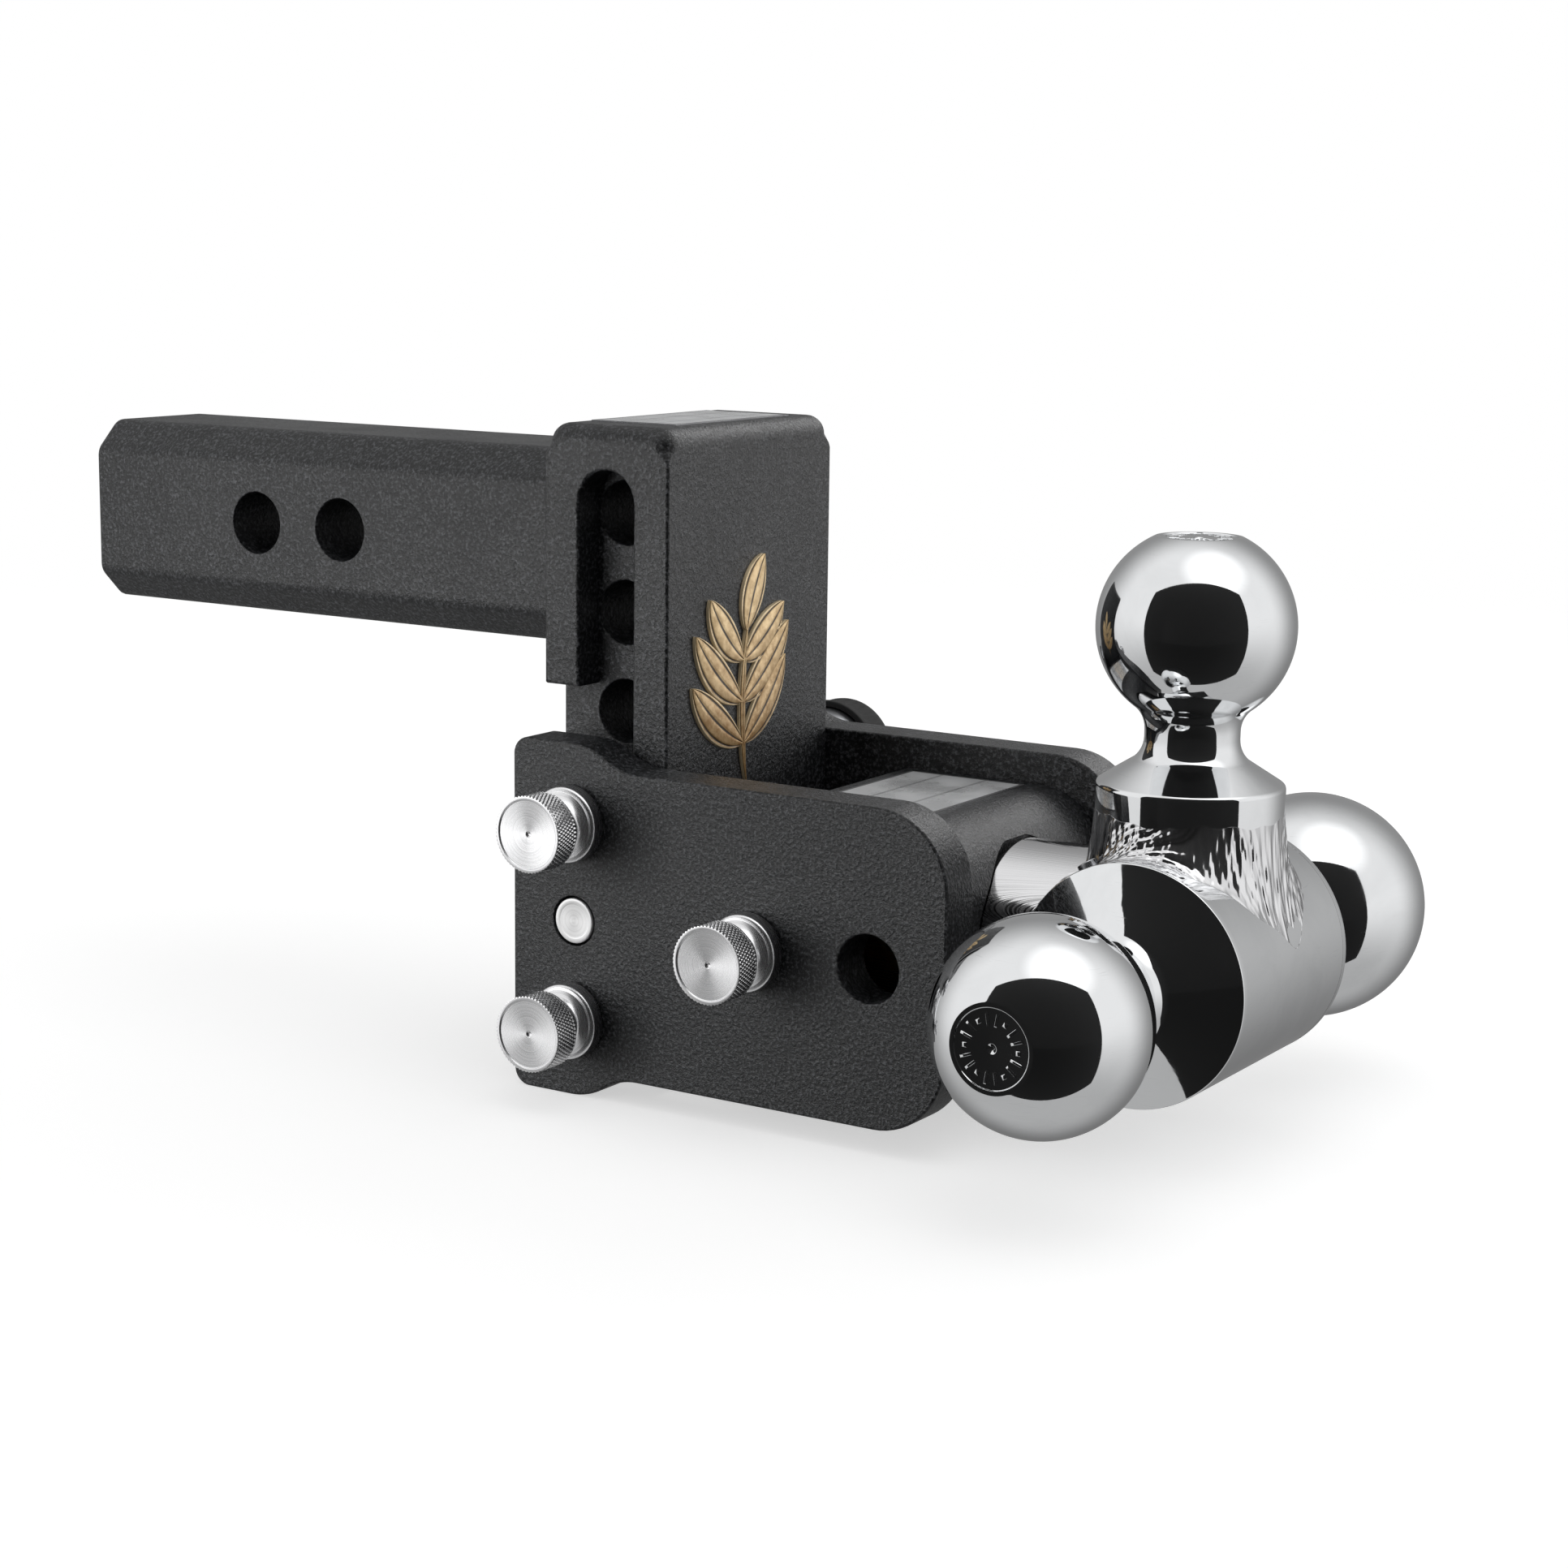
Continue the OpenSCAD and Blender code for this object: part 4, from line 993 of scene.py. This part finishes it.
def build_balls():
    """Three balls round the hub."""
    crease = 13.8 * MM
    collar_r, rim = 22.65 * MM, 44.1 * MM
    top = extent("small_ball")[1][2] - head_z
    small_r = 23.8125 * MM
    build_ball("small_ball", (0, 0, 1),
               [(collar_r, 19 * MM, 0), (collar_r, rim, 1.4 * MM), (crease, rim + 5.6 * MM, 0)],
               top - math.sqrt(small_r ** 2 - (10.35 * MM) ** 2), small_r, 19 * MM)
    for node, direction, radius in (("medium_ball", NEAR, 25.4 * MM), ("large_ball", Y_AXIS, 29.37 * MM)):
        low, high = extent(node)
        reach = max(abs(low[1]), abs(high[1]))
        base, rim_r = hub_high[1], 29.4 * MM
        build_ball(node, direction,
                   [(rim_r, base - 2 * MM, 0), (rim_r, base, 0.5 * MM), (crease, base + 6.5 * MM, 0)],
                   reach - math.sqrt(radius ** 2 - (10.35 * MM) ** 2), radius, base - 2 * MM)


def build_hub():
    """The hub's barrel."""
    radius, half = 29.38 * MM, hub_high[1]
    path = round_corners([(0, -half, 0), (radius, -half, 0.3 * MM),
                          (radius, half, 0.3 * MM), (0, half, 0)], 4)
    turned("hub_chrome", path, (hub_x, 0, head_z), Y_AXIS, chrome, "head", ["hub"], 200)


def build_shaft():
    """The head's shaft, with its shoulder, its ring's groove and its cross holes for the spare pin."""
    start = extent("head_shaft")[0][0]
    groove = extent("retaining_ring")[0][0]
    radius = 19.05 * MM
    path = round_corners([(0, start, 0), (radius, start, 1.2 * MM), (radius, groove, 0),
                          (radius - 1.6 * MM, groove, 0), (radius - 1.6 * MM, groove + 1.85 * MM, 0),
                          (radius, groove + 1.85 * MM, 0), (radius, SHOULDER_X, 0),
                          (SHOULDER_R, SHOULDER_X, 0.8 * MM), (SHOULDER_R, hub_x - 12 * MM, 0),
                          (0, hub_x - 12 * MM, 0)], 5)
    mesh = turned_mesh("shaft", path, (0, 0, head_z), X_AXIS, 160)
    holes = [drill((SPARE_HOLE_X, 0, head_z), direction, SPARE_HOLE_R, -radius, radius, 0, 64)
             for direction in (Y_AXIS, (0, 0, 1))]
    finish_mesh("shaft_bar", carved(carved(mesh, holes[:1]), holes[1:]), shaft_chrome_painted_shade, "head", ["head_shaft"])


def ripple(turn, share):
    """Uneven hand grinding: leaning strokes of a few lengths laid over each other."""
    return (0.5 * np.sin(34 * turn + 5.0 * share) + 0.3 * np.sin(71 * turn - 7.0 * share + 1.3)
            + 0.35 * np.sin(13 * turn + 9.0 * share + 0.6) + 0.2 * np.sin(127 * turn + 16.0 * share))


def build_collar_weld():
    """The ground fillet from the collar down to the hub.
    At the angle t round the collar, the point at share s is a curve that starts on the collar at radius rc,
    bends near the corner, and ends on the hub, whose height is sqrt(R^2 - (r cos t)^2)."""
    hub_r, collar_r = 29.4 * MM, 22.65 * MM
    turn = np.arange(420) * TURN / 420
    share = np.linspace(0, 1, 34)[:, None]
    facing = np.clip(np.cos(turn), 0, 1) ** 6
    reach = (4.3 + 0.5 * np.sin(3 * turn) + 0.35 * np.sin(11 * turn + 1)) * MM + 1.2 * MM * facing
    plug = math.atan2(middle("vent_plug").y, middle("vent_plug").x - hub_x) % TURN
    reach = reach * (1 - 0.93 * np.exp(-((turn - plug) / 0.17) ** 4))
    toe_r = collar_r + reach
    toe_z = np.sqrt(np.clip(hub_r ** 2 - (toe_r * np.cos(turn)) ** 2, (4 * MM) ** 2, None))
    bend_z = np.sqrt(np.clip(hub_r ** 2 - (collar_r * np.cos(turn)) ** 2, 0, None)) + 0.8 * MM
    top_z = (37.2 + 0.5 * np.sin(5 * turn) + 0.3 * np.sin(17 * turn)) * MM
    a, b, c = (1 - share) ** 2, 2 * share * (1 - share), share ** 2
    radius = a * (collar_r + 0.05 * MM) + b * (collar_r + 0.5 * MM) + c * toe_r
    height = a * top_z + b * bend_z + c * toe_z
    swell = 0.24 * MM * ripple(turn[None, :], share) * np.sin(math.pi * share) ** 0.5
    radius, height = radius + swell + 0.12 * MM * np.sin(math.pi * share), height + 0.6 * swell
    inner = [(toe_r - 2 * MM, toe_z - 2.5 * MM), (np.full_like(turn, collar_r - 1.5 * MM), toe_z - 1.5 * MM),
             (np.full_like(turn, collar_r - 1.5 * MM), top_z - 0.5 * MM)]
    radius = np.concatenate([radius, [r for r, z in inner]])
    height = np.concatenate([height, [z for r, z in inner]])
    points = np.stack([hub_x + radius * np.cos(turn), radius * np.sin(turn), head_z + height], axis=-1)
    run = np.arange(len(radius) + 1) * 0.6 * MM
    mesh = grid_mesh("collar_weld", points, wrap_rows=True, wrap_cols=True, along=run)
    finish_mesh("collar_fillet", mesh, weld_chrome, "head", ["collar_weld"], 60)


def build_shaft_weld():
    """The ground fillet from the shaft out to the hub.
    It is the collar's fillet laid on its side: the hub's face stands at sqrt(R^2 - (r sin t)^2) from its axis."""
    hub_r, shaft_r = 29.4 * MM, SHOULDER_R
    turn = np.arange(360) * TURN / 360
    share = np.linspace(0, 1, 22)[:, None]
    reach = (2.6 + 0.3 * np.sin(4 * turn) + 0.2 * np.sin(13 * turn)) * MM
    toe_r = shaft_r + reach
    toe_x = np.sqrt(hub_r ** 2 - (toe_r * np.sin(turn)) ** 2)
    bend_x = np.sqrt(hub_r ** 2 - (shaft_r * np.sin(turn)) ** 2) + 0.3 * MM
    start_x = bend_x + (3.6 + 0.4 * np.sin(7 * turn)) * MM
    a, b, c = (1 - share) ** 2, 2 * share * (1 - share), share ** 2
    radius = a * (shaft_r + 0.05 * MM) + b * (shaft_r + 0.3 * MM) + c * toe_r
    reach_x = a * start_x + b * bend_x + c * toe_x
    swell = 0.1 * MM * ripple(turn[None, :], share) * np.sin(math.pi * share) ** 0.5
    radius = np.concatenate([radius + swell, [toe_r - 2 * MM, np.full_like(turn, shaft_r - MM)]])
    reach_x = np.concatenate([reach_x + swell, [toe_x - 2 * MM, start_x - MM]])
    points = np.stack([hub_x - reach_x, radius * np.cos(turn), head_z + radius * np.sin(turn)], axis=-1)
    run = np.arange(len(radius) + 1) * 0.5 * MM
    mesh = grid_mesh("shaft_weld", points, wrap_rows=True, wrap_cols=True, along=run)
    finish_mesh("shaft_fillet", mesh, weld_chrome, "head", ["shaft_weld"], 60)


def build_vent_plug():
    """The small plug beside the collar. It leans out of the hub at the same angle as the hub's face there."""
    tilt = math.acos((19.05 + 2.5 + 2.85) / 29.4)
    y = middle("vent_plug").y
    direction = (-math.sin(tilt), 0, math.cos(tilt))
    path = round_corners([(0, 26 * MM, 0), (2.5 * MM, 26 * MM, 0), (2.5 * MM, 31 * MM, 0.35 * MM),
                          (1.7 * MM, 31 * MM, 0.1 * MM), (1.5 * MM, 30.7 * MM, 0.1 * MM), (0, 30.7 * MM, 0)], 4)
    turned("plug_disc", path, (hub_x, y, head_z), direction, zinc_plain, "head", ["vent_plug"], 64)


# ---------- emblem ----------

def leaf_mesh(root, heading, length, width, curl, lift):
    """A raised leaf on the column's rear face, with a groove inside its rim.
    Its rib bends by curl over its length. At the share s along and t across (from -1 to 1) the point is
    rib(s) + t * width / 2 * (1 - (2s - 1)^2)^0.8 across the rib. rim holds |t|, for the enamel's colours."""
    share = 0.5 - 0.5 * np.cos(np.linspace(0, math.pi, 30))
    across = np.concatenate([np.linspace(-1, -0.6, 9), np.linspace(-0.5, 0.5, 9), np.linspace(0.6, 1, 9)])
    angle = heading + curl * share
    step = np.diff(share, prepend=0) * length
    rib = np.stack([root[0] + np.cumsum(step * np.cos(angle)),
                    root[1] + np.cumsum(step * np.sin(angle))], axis=1)
    half = width / 2 * np.clip(1 - (2 * share - 1) ** 2, 0, 1) ** 0.8 + 0.15 * MM
    side = np.stack([-np.sin(angle), np.cos(angle)], axis=1)
    flat = rib[:, None, :] + (half[:, None] * across[None, :])[..., None] * side[:, None, :]
    size = np.abs(across)
    height = lift + 0.35 * MM * (1 - size ** 2) - 0.18 * MM * np.exp(-((size - 0.76) / 0.06) ** 2)
    height = height - 0.2 * MM * np.exp(-(size / 0.09) ** 2) - 0.5 * MM * (size > 0.99)
    face = core_high[0]
    front = np.stack([np.broadcast_to(face + height, flat.shape[:2]), flat[..., 0], flat[..., 1]], axis=-1)
    back = front[:, ::-1].copy()
    back[..., 0] = face - 0.2 * MM
    grid = np.concatenate([front, back[:, [0, -1]]], axis=1)
    mesh = capped(grid_mesh("leaf", grid, wrap_cols=True), len(grid), grid.shape[1])
    rim = mesh.attributes.new("rim", "FLOAT", "POINT")
    values = np.broadcast_to(np.concatenate([size, [1, 1]]), grid.shape[:2])
    rim.data.foreach_set("value", values.astype(np.float32).ravel())
    return mesh


def build_emblem():
    """A sprig: a bending stem, a leaf at its tip and leaves in pairs that lean outwards."""
    low, high = extent("emblem")
    foot, tall = low[2], high[2] - low[2]
    lift = 0.75 * MM
    stem_curl = math.radians(-22)
    leaves = [leaf_mesh((-3 * MM, foot), math.radians(101), 0.72 * tall, 2.6 * MM, stem_curl, lift)]
    share = np.linspace(0, 1, 200)
    bend = math.radians(101) + stem_curl * share
    stem_y = -3 * MM + np.cumsum(np.cos(bend)) * 0.72 * tall / 200
    stem_z = foot + np.cumsum(np.sin(bend)) * 0.72 * tall / 200
    leaves.append(leaf_mesh((stem_y[-12], stem_z[-12]), math.radians(76), 0.36 * tall, 0.17 * tall,
                            math.radians(-18), lift))
    for place, length in ((0.24, 0.5), (0.5, 0.5), (0.76, 0.4)):
        i = int(place * 199)
        for side in (-1, 1):
            heading = bend[i] + side * math.radians(62)
            leaves.append(leaf_mesh((stem_y[i], stem_z[i]), heading, length * tall, 0.17 * tall,
                                    -side * math.radians(26), lift))
    finish_mesh("emblem_inlay", joined("emblem", leaves), gold_finish(high[2], foot), "root", ["emblem"],
                50, weighted=False)


# ---------- the whole hitch ----------

build_shank()
build_column()
build_plates()
build_block()
build_block_welds()
build_seal()
build_guide_pins()
build_height_pin("upper_pin", upper_z)
build_height_pin("lower_pin", lower_z)
build_ball_pin()
build_lock("upper", upper_z)
build_lock("lower", lower_z)
build_balls()
build_hub()
build_shaft()
build_collar_weld()
build_shaft_weld()
build_vent_plug()
build_emblem()
dress("top_label", label_finish("column_film", "top_label", "X", 5.2 * MM))
dress("socket_label", label_finish("socket_film", "socket_label", "X", 6.5 * MM))
dress("shaft_sleeve", bronze)
dress("plunger_guide", zinc_plain)
dress("thrust_washer", bronze)
dress("retaining_ring", zinc_plain)


# ---------- floor, flags, light and camera ----------

def plain_finish(name, colour, roughness):
    """An even surface for things that stand round the object."""
    material = bpy.data.materials.new(name)
    material.use_nodes = True
    shader = material.node_tree.nodes["Principled BSDF"]
    shader.inputs["Base Color"].default_value = (*colour, 1)
    shader.inputs["Roughness"].default_value = roughness
    return material


def panel(name, centre, facing, width, height, material, hidden=True):
    """A flat rectangle that faces a point."""
    mesh = bpy.data.meshes.new(name)
    w, h = width / 2, height / 2
    mesh.from_pydata([(-w, -h, 0), (w, -h, 0), (w, h, 0), (-w, h, 0)], [], [(0, 1, 2, 3)])
    mesh.materials.append(material)
    made = bpy.data.objects.new(name, mesh)
    bpy.context.scene.collection.objects.link(made)
    made.location = centre
    made.rotation_euler = (Vector(facing) - Vector(centre)).to_track_quat("Z", "Y").to_euler()
    made.visible_camera = not hidden
    return made


def soft_light(name, centre, target, width, height, brightness, receivers):
    """A rectangular soft light that only reaches the receivers."""
    lamp = bpy.data.lights.new(name, "AREA")
    lamp.shape = "RECTANGLE"
    lamp.size = width
    lamp.size_y = height
    lamp.energy = brightness * math.pi * width * height
    made = bpy.data.objects.new(name, lamp)
    bpy.context.scene.collection.objects.link(made)
    made.location = centre
    made.rotation_euler = (Vector(centre) - Vector(target)).to_track_quat("Z", "Y").to_euler()
    made.light_linking.receiver_collection = receivers


def light_group(name, wanted):
    """The shown pieces whose material passes a test, for a light to reach."""
    group = bpy.data.collections.new(name)
    for thing in bpy.context.scene.objects:
        if thing.type == "MESH" and wanted(thing.active_material):
            group.objects.link(thing)
    return group


def studio_world(toward):
    """Plain white to the camera. In reflections it is brightest at the sides, greyer behind and below,
    and carries one broad soft light above."""
    world = bpy.data.worlds.new("studio")
    bpy.context.scene.world = world
    world.use_nodes = True
    tree = world.node_tree
    way = add(tree, "TexCoord").outputs["Generated"]
    height = add(tree, "SeparateXYZ", {"Vector": way}).outputs["Z"]
    facing = add(tree, "VectorMath", {0: way, 1: tuple(toward)}, operation="DOT_PRODUCT").outputs["Value"]
    above = add(tree, "VectorMath", {0: way, 1: (0.35, -0.1, 0.93)}, operation="DOT_PRODUCT").outputs["Value"]
    light = math_node(tree, "MULTIPLY", ramp(tree, facing, -0.95, -0.1, 0.3, 0.95),
                      ramp(tree, height, -0.8, 0.2, 0.5, 1.0))
    light = math_node(tree, "ADD", light, ramp(tree, above, 0.8, 1.0, 0.0, 0.6))
    rays = add(tree, "LightPath")
    soft = math_node(tree, "MULTIPLY", rays.outputs["Is Diffuse Ray"],
                     ramp(tree, height, -0.5, 0.6, 0.8, 0.5))
    light = math_node(tree, "MULTIPLY", light, math_node(tree, "SUBTRACT", 1.0, soft))
    light = math_node(tree, "MAXIMUM", light, rays.outputs["Is Camera Ray"])
    backdrop = tree.nodes["Background"]
    backdrop.inputs["Color"].default_value = (1, 1, 1, 1)
    tree.links.new(light, backdrop.inputs["Strength"])


def build_floor():
    """A pale floor that fades into the white surroundings. Reflections don't show it."""
    material = plain_finish("floor_white", (0.7, 0.7, 0.7), 0.8)
    tree = material.node_tree
    shader = tree.nodes["Principled BSDF"]
    shader.inputs["Emission Color"].default_value = (1, 1, 1, 1)
    shader.inputs["Emission Strength"].default_value = 0.55
    place = add(tree, "TexCoord").outputs["Object"]
    away = add(tree, "VectorMath", {0: place}, operation="LENGTH").outputs["Value"]
    tree.links.new(ramp(tree, away, 0.35, 1.1, 1.0, 0.0), shader.inputs["Alpha"])
    floor_z = min(extent("near_plate")[0][2], core_low[2])
    floor = panel("floor", (0.1, 0, floor_z), (0.1, 0, 5), 4, 4, material, False)
    floor.visible_glossy = False
    floor.visible_diffuse = False


def build_flag(toward):
    """The dark opening in front of the hitch, which only the polished faces see."""
    centre = Vector((hub_x, 0, head_z)) + toward * 0.5
    flag = panel("flag", centre, centre - toward, 1.75, 1.7, plain_finish("flag_black", (0.004,) * 3, 0.9))
    flag.visible_diffuse = False
    flag.visible_shadow = False


eye = Vector((0.54811, -0.65974, 0.08666))
toward = Vector((eye.x - hub_x, eye.y, 0)).normalized()
studio_world(toward)
build_floor()
build_flag(toward)
coated = light_group("coated", lambda material: material == coat["material"])
mirrors = [finish["material"] for finish in (chrome, weld_chrome, shaft_chrome_painted_shade)]
bare = light_group("bare", lambda material: material not in mirrors + [coat["material"]])
for receivers, share in ((coated, 1.0), (bare, 0.27)):
    soft_light("top_light", (0.2, 0.1, 1.1), (0.1, 0, 0), 1.2, 0.9, 0.5, receivers)
    soft_light("side_light", (-0.16, -0.52, 0.0), (0.04, 0, -0.04), 0.4, 0.3, 5.6 * share, receivers)
    soft_light("rear_light", (0.75, 0.85, 0.1), (0.12, 0, -0.02), 0.5, 0.7, 2.8, receivers)
    soft_light("far_light", (0.3, 1.05, 0.68), (0.17, 0, -0.05), 0.7, 0.5, 5.5 * share, receivers)

yaw, pitch, roll = math.radians(32.498), math.radians(10.593), math.radians(0.744)
ahead = Vector((-math.sin(yaw) * math.cos(pitch), math.cos(yaw) * math.cos(pitch), -math.sin(pitch)))
level = Vector((math.cos(yaw), math.sin(yaw), 0))
upright = level.cross(ahead)
right = math.cos(roll) * level + math.sin(roll) * upright
upward = -math.sin(roll) * level + math.cos(roll) * upright
lens = bpy.data.cameras.new("camera")
lens.lens = 70.37
lens.sensor_width = 36
camera = bpy.data.objects.new("camera", lens)
bpy.context.scene.collection.objects.link(camera)
camera.matrix_world = Matrix.Translation(eye) @ Matrix((right, upward, -ahead)).transposed().to_4x4()
bpy.context.scene.camera = camera
bpy.context.scene.view_settings.view_transform = "Standard"
